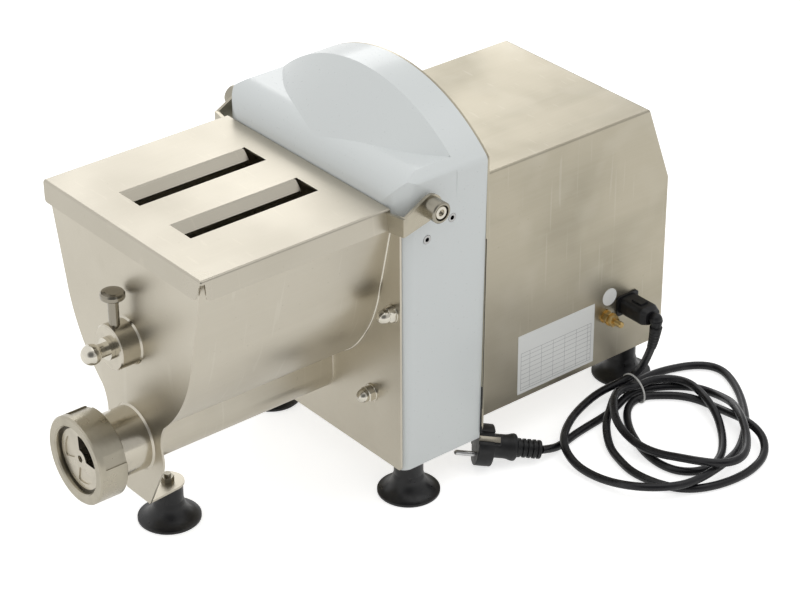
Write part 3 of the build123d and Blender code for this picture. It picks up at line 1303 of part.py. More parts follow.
PLUG_AXIS = Vector(*PLUG_FACE) - Vector(*PLUG_TAIL)
PLUG_LENGTH = PLUG_AXIS.length
PLUG_PROFILE = [(0, 0), (8.4, 0), (8.8, 1.5), (8.8, 22), (12.3, 24.5), (12.3, 28), (10.8, 32), (10.8, 43),
                (12.6, 46), (18.2, 48), (19, 49), (19, PLUG_LENGTH - 1.2), (18, PLUG_LENGTH), (0, PLUG_LENGTH)]
PIN_RADIUS = 2.4
PIN_LENGTH = 19.0
PIN_SPACING = 19.0
PIN_TURN = radians(38)
with BuildPart() as plug_body:
    add(turned(PLUG_PROFILE, PLUG_TAIL, PLUG_AXIS))
plug_body.part.label = "plug_body"
export_step(plug_body.part, "parts/plug_body.step")

PIN_PROFILE = [(0, 0), (PIN_RADIUS, 0), (PIN_RADIUS, PIN_LENGTH - 1.5), (PIN_RADIUS / 2, PIN_LENGTH),
               (0, PIN_LENGTH)]
with BuildPart() as plug_pins:
    level = PLUG_AXIS.normalized().cross(Vector(0, 0, 1)).normalized()
    pin_side = level * cos(PIN_TURN) + level.cross(PLUG_AXIS.normalized()) * sin(PIN_TURN)
    for side in (-PIN_SPACING / 2, PIN_SPACING / 2):
        add(turned(PIN_PROFILE, Vector(*PLUG_FACE) + pin_side * side, PLUG_AXIS))
plug_pins.part.label = "plug_pins"
export_step(plug_pins.part, "parts/plug_pins.step")
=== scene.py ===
import json
from math import asin, cos, pi, radians, sin

import bmesh
import bpy
from mathutils import Matrix, Vector


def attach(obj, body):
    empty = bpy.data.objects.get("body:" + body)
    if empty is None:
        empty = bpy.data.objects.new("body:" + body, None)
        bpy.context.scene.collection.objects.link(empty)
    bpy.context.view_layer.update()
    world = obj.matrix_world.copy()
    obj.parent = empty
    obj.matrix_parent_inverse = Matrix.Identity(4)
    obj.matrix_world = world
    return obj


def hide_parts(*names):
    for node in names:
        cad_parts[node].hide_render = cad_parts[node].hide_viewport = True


# An electric pasta maker: white hood, stainless hopper and motor housing, mains lead on the floor.
# Metres, +Z up, the die towards -Y, the mains inlet towards +X.

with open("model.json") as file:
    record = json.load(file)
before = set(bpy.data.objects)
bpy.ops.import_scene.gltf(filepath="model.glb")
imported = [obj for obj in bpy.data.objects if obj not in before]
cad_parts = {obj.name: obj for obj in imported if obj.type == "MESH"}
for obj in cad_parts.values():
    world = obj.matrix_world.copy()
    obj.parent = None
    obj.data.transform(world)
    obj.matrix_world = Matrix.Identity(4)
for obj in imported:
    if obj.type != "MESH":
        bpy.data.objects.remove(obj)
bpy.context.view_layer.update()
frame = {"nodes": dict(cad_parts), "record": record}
MM = 0.001


# ============================== camera, light and floor ==============================

SENSOR_WIDTH = 36.0
IMAGE_WIDTH = 800
FOCAL_PIXELS = 2640.4
VIEW_AZIMUTH = radians(50.83)
VIEW_ELEVATION = radians(30.19)
VIEW_ROLL = radians(-0.26)
CAMERA_PLACE = (1.5807, -1.2317, 1.3073)


def make_camera():
    """A long lens, looking down on the die end and the inlet side."""
    lens = bpy.data.cameras.new("camera")
    lens.sensor_fit = "HORIZONTAL"
    lens.sensor_width = SENSOR_WIDTH
    lens.lens = FOCAL_PIXELS / IMAGE_WIDTH * SENSOR_WIDTH
    lens.dof.use_dof = False
    camera = bpy.data.objects.new("camera", lens)
    bpy.context.scene.collection.objects.link(camera)
    turn = Matrix.Rotation(VIEW_AZIMUTH, 4, "Z") @ Matrix.Rotation(pi / 2 - VIEW_ELEVATION, 4, "X")
    camera.matrix_world = Matrix.Translation(CAMERA_PLACE) @ turn @ Matrix.Rotation(VIEW_ROLL, 4, "Z")
    bpy.context.scene.camera = camera


def aim_lamp(name, place, target, size, power):
    """A square soft lamp, size in metres and power in watts, that the camera doesn't see."""
    light = bpy.data.lights.new(name, "AREA")
    light.shape = "SQUARE"
    light.size = size
    light.energy = power
    lamp = bpy.data.objects.new(name, light)
    bpy.context.scene.collection.objects.link(lamp)
    lamp.location = place
    lamp.rotation_mode = "QUATERNION"
    lamp.rotation_quaternion = (Vector(target) - Vector(place)).to_track_quat("-Z", "Y")
    lamp.visible_camera = False


def sum_of(nodes, links, first, second):
    """Two values added."""
    node = nodes.new("ShaderNodeMath")
    node.operation = "ADD"
    links.new(first, node.inputs[0])
    links.new(second, node.inputs[1])
    return node.outputs[0]


def times(nodes, links, value, factor):
    """A value multiplied by a number."""
    node = nodes.new("ShaderNodeMath")
    node.operation = "MULTIPLY"
    node.inputs[1].default_value = factor
    links.new(value, node.inputs[0])
    return node.outputs[0]


def ray_kinds(nodes, links):
    """One for a camera ray, and one for a ray off something glossy or through something clear."""
    path = nodes.new("ShaderNodeLightPath")
    reflected = sum_of(nodes, links, path.outputs["Is Glossy Ray"], path.outputs["Is Transmission Ray"])
    return path.outputs["Is Camera Ray"], reflected


WORLD_LIGHT = 0.74
ROOM_SIDE = (0.67, -0.545, 0.50)
ROOM_GREY = 0.19
ROOM_FROM = 0.72
ROOM_TO = 0.97
BACK_SIDE = (0.51, 0.86, 0.0)
BACK_GREY = 0.66
BACK_FROM = -0.04
BACK_TO = 0.22
FLOOR_SIZE = 16
FLOOR_COLOUR = (0.80, 0.80, 0.79, 1.0)
FLOOR_GLOW_SEEN = 0.655
FLOOR_GLOW_REFLECTED = 0.42


def faded(nodes, links, direction, side, start, end, grey):
    """One, and less towards one side of the room."""
    facing = nodes.new("ShaderNodeVectorMath")
    facing.operation = "DOT_PRODUCT"
    facing.inputs[1].default_value = side
    links.new(direction, facing.inputs[0])
    fall = nodes.new("ShaderNodeMapRange")
    fall.interpolation_type = "SMOOTHSTEP"
    for socket, value in (("From Min", start), ("From Max", end), ("To Min", 1.0), ("To Max", grey)):
        fall.inputs[socket].default_value = value
    links.new(facing.outputs["Value"], fall.inputs["Value"])
    return fall.outputs["Result"]


def room_strength(nodes, links):
    """The reflected room: white, with a dark doorway on one side and a greyer wall at the back."""
    direction = nodes.new("ShaderNodeTexCoord").outputs["Generated"]
    doorway = faded(nodes, links, direction, ROOM_SIDE, ROOM_FROM, ROOM_TO, ROOM_GREY)
    wall = faded(nodes, links, direction, BACK_SIDE, BACK_FROM, BACK_TO, BACK_GREY)
    both = nodes.new("ShaderNodeMath")
    both.operation = "MULTIPLY"
    links.new(doorway, both.inputs[0])
    links.new(wall, both.inputs[1])
    return both.outputs[0]


def make_world():
    """White to look at, a white room with darker sides in reflections, a plain soft light on the rest."""
    world = bpy.data.worlds.new("studio")
    world.use_nodes = True
    bpy.context.scene.world = world
    nodes = world.node_tree.nodes
    links = world.node_tree.links
    light = nodes["Background"]
    light.inputs["Strength"].default_value = WORLD_LIGHT
    white = nodes.new("ShaderNodeBackground")
    white.inputs["Strength"].default_value = 1.0
    room = nodes.new("ShaderNodeBackground")
    links.new(room_strength(nodes, links), room.inputs["Strength"])
    for background in (light, white, room):
        background.inputs["Color"].default_value = (1.0, 1.0, 1.0, 1.0)
    seen, reflected = ray_kinds(nodes, links)
    before = light.outputs[0]
    for amount, background in ((seen, white), (reflected, room)):
        mix = nodes.new("ShaderNodeMixShader")
        links.new(amount, mix.inputs["Fac"])
        links.new(before, mix.inputs[1])
        links.new(background.outputs[0], mix.inputs[2])
        before = mix.outputs[0]
    links.new(before, nodes["World Output"].inputs["Surface"])


def make_floor():
    """A wide white sweep, lifted to white where it is looked at, so that it keeps a faint shadow."""
    bpy.ops.mesh.primitive_plane_add(size=FLOOR_SIZE, location=(0, 0, 0))
    floor = bpy.context.active_object
    floor.name = "floor"
    material = bpy.data.materials.new("floor_paper")
    material.use_nodes = True
    nodes = material.node_tree.nodes
    links = material.node_tree.links
    nodes.remove(nodes["Principled BSDF"])
    paper = nodes.new("ShaderNodeBsdfDiffuse")
    paper.inputs["Color"].default_value = FLOOR_COLOUR
    glow = nodes.new("ShaderNodeEmission")
    seen, reflected = ray_kinds(nodes, links)
    seen_glow = times(nodes, links, seen, FLOOR_GLOW_SEEN)
    reflected_glow = times(nodes, links, reflected, FLOOR_GLOW_REFLECTED)
    links.new(sum_of(nodes, links, seen_glow, reflected_glow), glow.inputs["Strength"])
    both = nodes.new("ShaderNodeAddShader")
    links.new(paper.outputs[0], both.inputs[0])
    links.new(glow.outputs[0], both.inputs[1])
    links.new(both.outputs[0], nodes["Material Output"].inputs["Surface"])
    floor.data.materials.append(material)


MACHINE_MIDDLE = (0.0, 0.0, 0.18)
KEY_LAMP = {"place": (-3.0, 2.25, 1.75), "size": 1.5, "power": 13}
OVERHEAD_LAMP = {"place": (0.4, 0.6, 2.2), "size": 1.6, "power": 5}
make_camera()
make_world()
make_floor()
aim_lamp("key", target=MACHINE_MIDDLE, **KEY_LAMP)
aim_lamp("overhead", target=MACHINE_MIDDLE, **OVERHEAD_LAMP)

bpy.context.scene.view_settings.view_transform = "Standard"


# ============================== finishes ==============================

class Finish:
    """A Principled material with a few short ways to add procedural detail to it."""

    def __init__(self, name, colour, roughness, metallic=0.0):
        self.material = bpy.data.materials.new(name)
        self.material.use_nodes = True
        self.nodes = self.material.node_tree.nodes
        self.links = self.material.node_tree.links
        self.shader = self.nodes["Principled BSDF"]
        self.shader.inputs["Base Color"].default_value = (*colour, 1.0)
        self.shader.inputs["Roughness"].default_value = roughness
        self.shader.inputs["Metallic"].default_value = metallic
        self.place = self.nodes.new("ShaderNodeTexCoord").outputs["Object"]
        self.colour = None
        self.height = None

    def noise(self, scale, detail=3.0, stretch=(1.0, 1.0, 1.0), turn=(0.0, 0.0, 0.0), roughness=0.55):
        """Noise in the object's own metres, stretched and turned, as values round a half."""
        mapping = self.nodes.new("ShaderNodeMapping")
        mapping.inputs["Scale"].default_value = stretch
        mapping.inputs["Rotation"].default_value = turn
        texture = self.nodes.new("ShaderNodeTexNoise")
        texture.inputs["Scale"].default_value = scale
        texture.inputs["Detail"].default_value = detail
        texture.inputs["Roughness"].default_value = roughness
        self.links.new(self.place, mapping.inputs["Vector"])
        self.links.new(mapping.outputs["Vector"], texture.inputs["Vector"])
        return texture.outputs["Fac"]

    def spread(self, value, high, low=0.0, bottom=0.0, top=1.0):
        """The value carried from bottom...top to low...high, and held at the ends."""
        ramp = self.nodes.new("ShaderNodeMapRange")
        ramp.inputs["From Min"].default_value = bottom
        ramp.inputs["From Max"].default_value = top
        ramp.inputs["To Min"].default_value = low
        ramp.inputs["To Max"].default_value = high
        self.links.new(value, ramp.inputs["Value"])
        return ramp.outputs["Result"]

    def math(self, operation, first, second):
        """Two values, or a value and a number, put together."""
        node = self.nodes.new("ShaderNodeMath")
        node.operation = operation
        for socket, value in zip(node.inputs, (first, second)):
            if isinstance(value, (int, float)):
                socket.default_value = value
            else:
                self.links.new(value, socket)
        return node.outputs[0]

    def along(self, axis):
        """The object's own x, y or z."""
        parts = self.nodes.new("ShaderNodeSeparateXYZ")
        self.links.new(self.place, parts.inputs[0])
        return parts.outputs[axis]

    def tint(self, amount, colour):
        """Mixes another colour in by an amount between nought and one."""
        mix = self.nodes.new("ShaderNodeMix")
        mix.data_type = "RGBA"
        mix.inputs["B"].default_value = (*colour, 1.0)
        if self.colour is None:
            mix.inputs["A"].default_value = self.shader.inputs["Base Color"].default_value
        else:
            self.links.new(self.colour, mix.inputs["A"])
        self.links.new(amount, mix.inputs["Factor"])
        self.colour = mix.outputs["Result"]
        self.links.new(self.colour, self.shader.inputs["Base Color"])
        return self

    def dull(self, value, low, high, bottom=0.3, top=0.7):
        """Roughness that follows a value."""
        self.links.new(self.spread(value, high, low, bottom, top), self.shader.inputs["Roughness"])
        return self

    def bump(self, value, depth, strength):
        """Relief of a depth in metres."""
        node = self.nodes.new("ShaderNodeBump")
        node.inputs["Strength"].default_value = strength
        node.inputs["Distance"].default_value = depth
        self.links.new(value, node.inputs["Height"])
        if self.height is not None:
            self.links.new(self.height, node.inputs["Normal"])
        self.height = node.outputs["Normal"]
        self.links.new(self.height, self.shader.inputs["Normal"])
        return self


def shade(colour, factor):
    """A colour made darker or lighter, and no lighter than white."""
    return tuple(min(1.0, part * factor) for part in colour)


STEEL = (0.56, 0.52, 0.435)
STEEL_DARK = (0.44, 0.405, 0.325)
STEEL_PALE = (0.64, 0.605, 0.525)
# Painted shade: the housing's steel is a darker copy of the hopper's, standing for the darker room its sides
# reflect.
HOUSING_STEEL_SHADED = (0.455, 0.415, 0.325)
HOUSING_DARK = (0.35, 0.32, 0.245)
HOUSING_PALE = (0.54, 0.505, 0.42)
NUT_STEEL = (0.435, 0.40, 0.32)
# Painted shade: the lid's steel is a darker copy of the hopper's, to hold down the light its top reflects.
LID_STEEL_SHADED = (0.50, 0.465, 0.39)
PIN_STEEL = (0.30, 0.275, 0.225)
BUSH_STEEL = (0.35, 0.325, 0.265)
# Painted shade: a near-black steel for the pressure ring, standing for the shade in the gap inside the ring
# nut.
RING_PAINTED_SHADE = (0.16, 0.15, 0.13)

GRAIN_DEPTH = 0.00003
STEEL_METALLIC = 1.0


def sheet_steel(name, colours, roughness, marks):
    """Mill-finished sheet: plain colour, cloudy handling marks, faint grain and a few hair scratches."""
    plain, dark, pale = colours
    steel = Finish(name, plain, roughness, STEEL_METALLIC)
    clouds = steel.noise(scale=7.0, detail=3.0, roughness=0.5)
    steel.tint(steel.spread(clouds, high=marks, bottom=0.50, top=0.78), dark)
    patches = steel.noise(scale=17.0, detail=2.0, turn=(0.4, 0.2, 0.9))
    steel.tint(steel.spread(patches, high=marks * 0.6, bottom=0.52, top=0.80), pale)
    wipes = steel.noise(scale=24.0, detail=2.0, stretch=(1.0, 0.22, 1.0), turn=(0.5, 0.0, 0.0))
    steel.tint(steel.spread(wipes, high=marks * 0.5, bottom=0.55, top=0.75), dark)
    streaks = steel.noise(scale=420.0, detail=2.0, stretch=(1.0, 0.03, 1.0))
    steel.tint(steel.spread(streaks, high=0.16, bottom=0.4, top=0.9), pale)
    scratches = steel.noise(scale=46.0, detail=0.0, stretch=(1.0, 7.0, 0.25), turn=(0.75, 0.3, 0.2))
    steel.tint(steel.spread(scratches, high=0.30, bottom=0.74, top=0.78), pale)
    specks = steel.noise(scale=260.0, detail=1.0)
    steel.tint(steel.spread(specks, high=0.5, bottom=0.74, top=0.80), dark)
    steel.dull(clouds, low=roughness - 0.04, high=roughness + 0.07)
    steel.bump(streaks, depth=GRAIN_DEPTH, strength=0.4)
    return steel.material


def turned_steel(name, colour, roughness, relief=0.00006, rings=0.0):
    """Turned and cast stainless: a soft satin with shallow pits, and rings where a tool has run round."""
    steel = Finish(name, colour, roughness, STEEL_METALLIC)
    clouds = steel.noise(scale=55.0)
    steel.tint(steel.spread(clouds, high=0.55, bottom=0.48, top=0.75), shade(colour, 0.78))
    rub = steel.noise(scale=22.0, detail=2.0, stretch=(1.0, 0.3, 1.0))
    steel.tint(steel.spread(rub, high=0.45, bottom=0.52, top=0.75), shade(colour, 1.22))
    pits = steel.noise(scale=900.0)
    steel.dull(clouds, low=roughness - 0.05, high=roughness + 0.08)
    steel.bump(pits, depth=relief, strength=0.6)
    if rings:
        tool_marks = steel.noise(scale=300.0, detail=2.0, stretch=(0.02, 4.0, 0.02))
        steel.bump(tool_marks, depth=rings, strength=0.5)
    return steel.material


def plain_metal(name, colour, roughness):
    """Machined metal with a slight cloud."""
    metal = Finish(name, colour, roughness, STEEL_METALLIC)
    clouds = metal.noise(scale=120.0)
    metal.tint(metal.spread(clouds, high=0.35, bottom=0.45, top=0.8), shade(colour, 0.7))
    metal.dull(clouds, low=roughness - 0.04, high=roughness + 0.1)
    metal.bump(metal.noise(scale=1400.0, detail=2.0), depth=GRAIN_DEPTH, strength=0.5)
    return metal.material


def enamel(name):
    """Cool white powder coat, nearly smooth, with the faintest orange peel."""
    coat = Finish(name, (0.75, 0.785, 0.775), 0.28)
    coat.shader.inputs["Coat Weight"].default_value = 0.25
    coat.shader.inputs["Coat Roughness"].default_value = 0.12
    coat.tint(coat.spread(coat.noise(scale=5.0, detail=1.0), high=0.5), (0.72, 0.75, 0.765))
    coat.dull(coat.noise(scale=400.0, detail=1.0), low=0.26, high=0.31, bottom=0.0, top=1.0)
    coat.bump(coat.noise(scale=700.0, detail=2.0), depth=GRAIN_DEPTH, strength=0.35)
    return coat.material


def rubber(name, colour, roughness, dust):
    """Black rubber or plastic with a little dust and mould texture."""
    soft = Finish(name, colour, roughness)
    soft.shader.inputs["Specular IOR Level"].default_value = 0.4
    soft.tint(soft.spread(soft.noise(scale=70.0, detail=4.0), high=0.5, bottom=0.52, top=0.8), dust)
    soft.dull(soft.noise(scale=150.0), low=roughness - 0.08, high=roughness + 0.1)
    soft.bump(soft.noise(scale=1800.0, detail=2.0), depth=0.00004, strength=0.5)
    return soft.material


def smooth_plastic(name, colour, roughness):
    """Moulded plastic with a fine spark texture."""
    plastic = Finish(name, colour, roughness)
    clouds = plastic.noise(scale=50.0)
    plastic.tint(plastic.spread(clouds, high=0.4, bottom=0.5, top=0.8), shade(colour, 0.85))
    plastic.dull(plastic.noise(scale=200.0, detail=2.0), low=roughness - 0.05, high=roughness + 0.08)
    plastic.bump(plastic.noise(scale=2500.0, detail=1.0), depth=GRAIN_DEPTH, strength=0.4)
    return plastic.material


RULE_PITCH_Z = 4.6 * MM
RULE_PITCH_Y = 14.0 * MM
RULE_WIDTH = 0.45 * MM
RULE_STRENGTH = 0.6
RULED_Y = (115.5 * MM, 200.5 * MM)
RULED_Z = (48.0 * MM, 87.0 * MM)
FRAME_WIDTH = 0.5 * MM


def inside(film, value, low, high):
    """One where a value lies between two others."""
    return film.math("MULTIPLY", film.math("GREATER_THAN", value, low), film.math("LESS_THAN", value, high))


def label_film(name):
    """Pale silver film with plain ruled cells in a frame over its lower part, all of them empty."""
    film = Finish(name, (0.82, 0.83, 0.81), 0.30)
    film.tint(film.spread(film.noise(scale=30.0), high=0.4, bottom=0.5, top=0.8), (0.75, 0.76, 0.74))
    y = film.along("Y")
    z = film.along("Z")
    rows = film.math("LESS_THAN", film.math("MODULO", z, RULE_PITCH_Z), RULE_WIDTH)
    columns = film.math("LESS_THAN", film.math("MODULO", y, RULE_PITCH_Y), RULE_WIDTH)
    cells = film.math("MAXIMUM", rows, columns)
    outer = film.math("MULTIPLY", inside(film, y, *RULED_Y), inside(film, z, *RULED_Z))
    inner = film.math("MULTIPLY", inside(film, y, RULED_Y[0] + FRAME_WIDTH, RULED_Y[1] - FRAME_WIDTH),
                      inside(film, z, RULED_Z[0] + FRAME_WIDTH, RULED_Z[1] - FRAME_WIDTH))
    frame_line = film.math("SUBTRACT", outer, inner)
    lines = film.math("MAXIMUM", film.math("MULTIPLY", cells, inner), frame_line)
    film.tint(film.math("MULTIPLY", lines, RULE_STRENGTH), (0.16, 0.16, 0.17))
    return film.material


SOCKET_FLOOR_X = 120.6 * MM


def socket_head(name):
    """Bright screw heads whose sockets are coloured near black: painted shade in the recess."""
    metal = Finish(name, (0.45, 0.45, 0.44), 0.28, STEEL_METALLIC)
    out = metal.math("ABSOLUTE", metal.along("X"), 0.0)
    # Painted shade: the socket floor, nearer the middle than SOCKET_FLOOR_X, is coloured near black as if in
    # shadow.
    metal.tint(metal.math("LESS_THAN", out, SOCKET_FLOOR_X), (0.02, 0.02, 0.022))
    return metal.material


BRASS = (0.60, 0.42, 0.17)
finishes = {
    "brushed_stainless": sheet_steel("hopper_sheet", (STEEL, STEEL_DARK, STEEL_PALE), 0.33, 0.35),
    "turned_stainless": turned_steel("satin_turned_steel", STEEL, 0.28),
    "polished_stainless": turned_steel("bright_turned_steel", STEEL_PALE, 0.14, 0.00002),
    "white_enamel": enamel("cool_white_enamel"),
    "black_rubber": rubber("foot_rubber", (0.012, 0.012, 0.013), 0.34, (0.035, 0.035, 0.035)),
    "black_cord": rubber("cord_sheath", (0.008, 0.008, 0.010), 0.30, (0.05, 0.05, 0.05)),
    "black_plastic": rubber("moulded_black", (0.009, 0.009, 0.010), 0.40, (0.04, 0.04, 0.04)),
    "brass": plain_metal("plain_brass", BRASS, 0.28),
    "label_film": label_film("ruled_label_film"),
    "pale_tie": smooth_plastic("pale_nylon", (0.62, 0.62, 0.60), 0.4),
    "zinc_steel": plain_metal("zinc_plate", (0.62, 0.62, 0.62), 0.3),
    "plate_steel": plain_metal("machined_plate", (0.42, 0.43, 0.44), 0.42),
    "gear_steel": plain_metal("oiled_gear_steel", (0.36, 0.36, 0.37), 0.32),
    "cast_aluminium": plain_metal("cast_aluminium", (0.58, 0.59, 0.60), 0.5),
    "motor_iron": plain_metal("laminated_iron", (0.24, 0.25, 0.27), 0.5),
    "seal_rubber": rubber("brown_seal_rubber", (0.09, 0.05, 0.035), 0.5, (0.14, 0.10, 0.08)),
    "white_plastic": smooth_plastic("white_plastic", (0.80, 0.80, 0.78), 0.45),
    "green_plastic": smooth_plastic("green_button", (0.04, 0.38, 0.14), 0.3),
    "red_plastic": smooth_plastic("red_button", (0.60, 0.04, 0.04), 0.3),
}
slot_of = {part["node"]: part["material_slot"] for part in frame["record"]["subparts"]}


def dress(piece, slot):
    """Gives a piece the finish of one of the record's slots, all over."""
    piece.data.materials.clear()
    piece.data.materials.append(finishes[slot])


for node, piece in frame["nodes"].items():
    dress(piece, slot_of[node])

# Painted shade: the housing, base and bulkhead share this darker copy of the sheet steel; its heavier clouds
# are real handling marks.
shaded_housing_sheet = sheet_steel("shaded_housing_sheet", (HOUSING_STEEL_SHADED, HOUSING_DARK, HOUSING_PALE), 0.36, 1.0)
nut_steel = turned_steel("worn_nut_steel", NUT_STEEL, 0.30, 0.00008, 0.00006)
# Painted shade: the lid is dressed in this darker copy of the sheet steel.
shaded_lid_sheet = sheet_steel("shaded_lid_sheet", (LID_STEEL_SHADED, STEEL_DARK, STEEL), 0.30, 0.35)
pin_steel = turned_steel("dark_pin_steel", PIN_STEEL, 0.20, 0.00003)
bush_steel = turned_steel("dull_bush_steel", BUSH_STEEL, 0.30, 0.00004)
barrel_steel = turned_steel("bright_barrel_steel", STEEL, 0.19, 0.00003)
# Painted shade: the pressure ring is dressed near black, as the dark gap inside the ring nut.
shadow_ring = turned_steel("ring_steel_painted_shade", RING_PAINTED_SHADE, 0.45)
special = {"housing_cover": shaded_housing_sheet, "housing_base": shaded_housing_sheet, "hood_bulkhead": shaded_housing_sheet,
           "ring_nut": nut_steel, "lid": shaded_lid_sheet, "lid_arms": nut_steel, "lock_pin": pin_steel,
           "barrel_tube": barrel_steel, "mixer_boss": barrel_steel, "pressure_ring": shadow_ring,
           "hinge_bushes": bush_steel, "foot_bolts": bush_steel,
           "hood_screws": socket_head("socket_screws_painted_shade")}
for node, material in special.items():
    frame["nodes"][node].data.materials[0] = material


# ============================== mains cord ==============================

CORD_RADIUS = 3.75 * MM
LEAD = [(136, 244, 84), (134.2, 244.2, 71), (130.2, 244.7, 57.8), (124.5, 245.4, 44.6), (118.4, 246.6, 32.6),
        (113, 245.5, 24.5), (108.7, 239, 18.6)]
LARGE_TURN = [(105, 226, 15), (102.5, 208, 12.2), (106, 190, 11.2), (114, 168, 11.6), (125, 148, 12.4),
              (139, 130, 13), (154, 120, 10.5), (171, 117, 6), (189, 118, 5), (208, 120, 7),
              (226, 124, 10.5), (241, 133, 12.2), (252, 147, 12), (260, 163, 12), (262, 182, 12),
              (260, 203, 12), (256, 221, 11), (247, 243, 7.5), (232, 265, 4.3), (214, 287, 4),
              (194, 304, 4), (174, 318, 4), (155, 328, 4), (139, 333, 4), (125, 330, 4), (114, 318, 4),
              (107, 302, 4), (102, 284, 4), (101, 264, 4)]
RIGHT_TURN = [(104, 246, 4), (107, 229, 7.5), (118, 212, 12.6), (131, 195, 12.8), (142, 180, 11.5),
              (155, 169, 7), (170, 160, 4), (188, 154, 4), (205, 150, 4), (221, 151, 4), (237, 155, 4),
              (253, 163, 4), (264, 176, 4), (271, 194, 4), (274, 214, 4), (273, 235, 4), (266, 257, 5),
              (252, 271, 9.5), (236, 276, 12.5), (216, 278, 12), (196, 281, 7), (178, 282, 4),
              (160, 279, 4), (145, 271, 4), (134, 259, 4)]
SMALL_TURN = [(124, 245, 4), (124, 228, 4), (136, 211, 4), (156, 196, 4), (176, 186, 4), (196, 179, 4),
              (215, 177, 4), (232, 181, 4), (244, 193, 4), (247, 209, 4), (242, 225, 4), (231, 240, 4),
              (215, 255, 5), (197, 267, 9), (180, 274, 12), (160, 281, 12.3), (142, 284, 12.3),
              (127, 277, 12)]
TOP_TURN = [(117, 262, 12), (116.5, 244, 12), (115, 226, 15.8), (122.5, 208.5, 20.4), (138, 192, 20.5),
            (155, 180, 18.5), (172, 176, 14), (192, 175, 12), (212, 179, 12.5), (231, 185, 16),
            (251, 191, 19.6), (265, 201, 20.2), (271, 216, 20), (266, 232, 19), (252, 248, 18),
            (238, 260, 19.5), (220, 272, 20.5), (199, 285, 16), (179, 295, 8), (162, 298, 4),
            (147, 294, 4), (134, 284, 4), (122, 268, 4)]
TAIL = [(112.5, 248, 4), (115, 229, 4), (123.5, 208, 4), (127, 188, 4), (129, 168, 4), (131.5, 151, 4),
        (134.2, 142, 4.6), (136, 132, 4.3), (138.6, 119, 6.2), (138.2, 104.8, 10.8)]
CORD_ROUTE = LEAD + LARGE_TURN + RIGHT_TURN + SMALL_TURN + TOP_TURN + TAIL


def round_cord(name, points, radius):
    """A smooth round cord along one spline."""
    line = bpy.data.curves.new(name, "CURVE")
    line.dimensions = "3D"
    line.bevel_depth = radius
    line.bevel_resolution = 5
    line.resolution_u = 5
    line.use_fill_caps = True
    spline = line.splines.new("NURBS")
    spline.points.add(len(points) - 1)
    for control, (x, y, z) in zip(spline.points, points):
        control.co = (x * MM, y * MM, z * MM, 1.0)
    spline.order_u = 3
    spline.use_endpoint_u = True
    cord = bpy.data.objects.new(name, line)
    bpy.context.scene.collection.objects.link(cord)
    return cord


power_cord = round_cord("power_cord", CORD_ROUTE, CORD_RADIUS)
dress(power_cord, "black_cord")


def centre_line():
    """Points along the middle of the cord, read from its own spline."""
    bare = power_cord.data.copy()
    bare.bevel_depth = 0.0
    line = bpy.data.objects.new("centre_line", bare)
    bpy.context.scene.collection.objects.link(line)
    mesh = bpy.data.meshes.new_from_object(line)
    points = [vertex.co.copy() for vertex in mesh.vertices]
    bpy.data.objects.remove(line)
    bpy.data.meshes.remove(mesh)
    bpy.data.curves.remove(bare)
    return points


BOOT_LENGTH = 24 * MM
BOOT_ROOT = 5.9 * MM
BOOT_TIP = 4.25 * MM
BOOT_GROOVE = 0.55 * MM
BOOT_SIDES = 24
RING_STATIONS = 4
BOOT_STATIONS = 7 * RING_STATIONS


def ride_slot(piece, slot, body="machine"):
    """Dresses a piece, and gives it its body and its record's slot."""
    dress(piece, slot)
    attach(piece, body)


def strain_relief():
    """A ribbed boot that tapers along the first of the cord, under the connector."""
    points = centre_line()
    walked = [0.0]
    for before, here in zip(points, points[1:]):
        walked.append(walked[-1] + (here - before).length)
    stations = [BOOT_LENGTH * step / BOOT_STATIONS for step in range(BOOT_STATIONS + 1)]
    net = bmesh.new()
    rings = []
    for number, station in enumerate(stations):
        index = max(i for i, length in enumerate(walked[:-1]) if length <= station)
        share = (station - walked[index]) / (walked[index + 1] - walked[index])
        middle = points[index].lerp(points[index + 1], share)
        along = (points[index + 1] - points[index]).normalized()
        across = along.cross(Vector((0, 1, 0))).normalized()
        upward = across.cross(along)
        radius = BOOT_ROOT + (BOOT_TIP - BOOT_ROOT) * station / BOOT_LENGTH
        if number % RING_STATIONS == RING_STATIONS - 1 and RING_STATIONS < number < BOOT_STATIONS - 2:
            radius -= BOOT_GROOVE
        rings.append([net.verts.new(middle + radius * (cos(2 * pi * side / BOOT_SIDES) * across
                                                       + sin(2 * pi * side / BOOT_SIDES) * upward))
                      for side in range(BOOT_SIDES)])
    for before, here in zip(rings, rings[1:]):
        for side in range(BOOT_SIDES):
            other = (side + 1) % BOOT_SIDES
            net.faces.new((before[side], before[other], here[other], here[side]))
    net.faces.new(rings[0])
    net.faces.new(list(reversed(rings[-1])))
    bmesh.ops.recalc_face_normals(net, faces=net.faces)
    mesh = bpy.data.meshes.new("cord_boot")
    net.to_mesh(mesh)
    net.free()
    boot = bpy.data.objects.new("cord_boot", mesh)
    bpy.context.scene.collection.objects.link(boot)
    for face in mesh.polygons:
        face.use_smooth = True
    return boot


cord_boot = strain_relief()
ride_slot(cord_boot, "black_plastic")

TIE_WIRE = 0.9 * MM
TIE_LOOP = [(101.2, 237.0, 3.5), (100.9, 237.2, 11.5), (104.6, 237.8, 20.2), (112.0, 238.4, 24.9),
            (121.6, 238.8, 22.6), (129.6, 238.8, 15.2), (132.0, 238.4, 6.0), (129.2, 237.8, 0.5),
            (117.0, 237.2, 0.9), (104.4, 236.8, 0.5)]


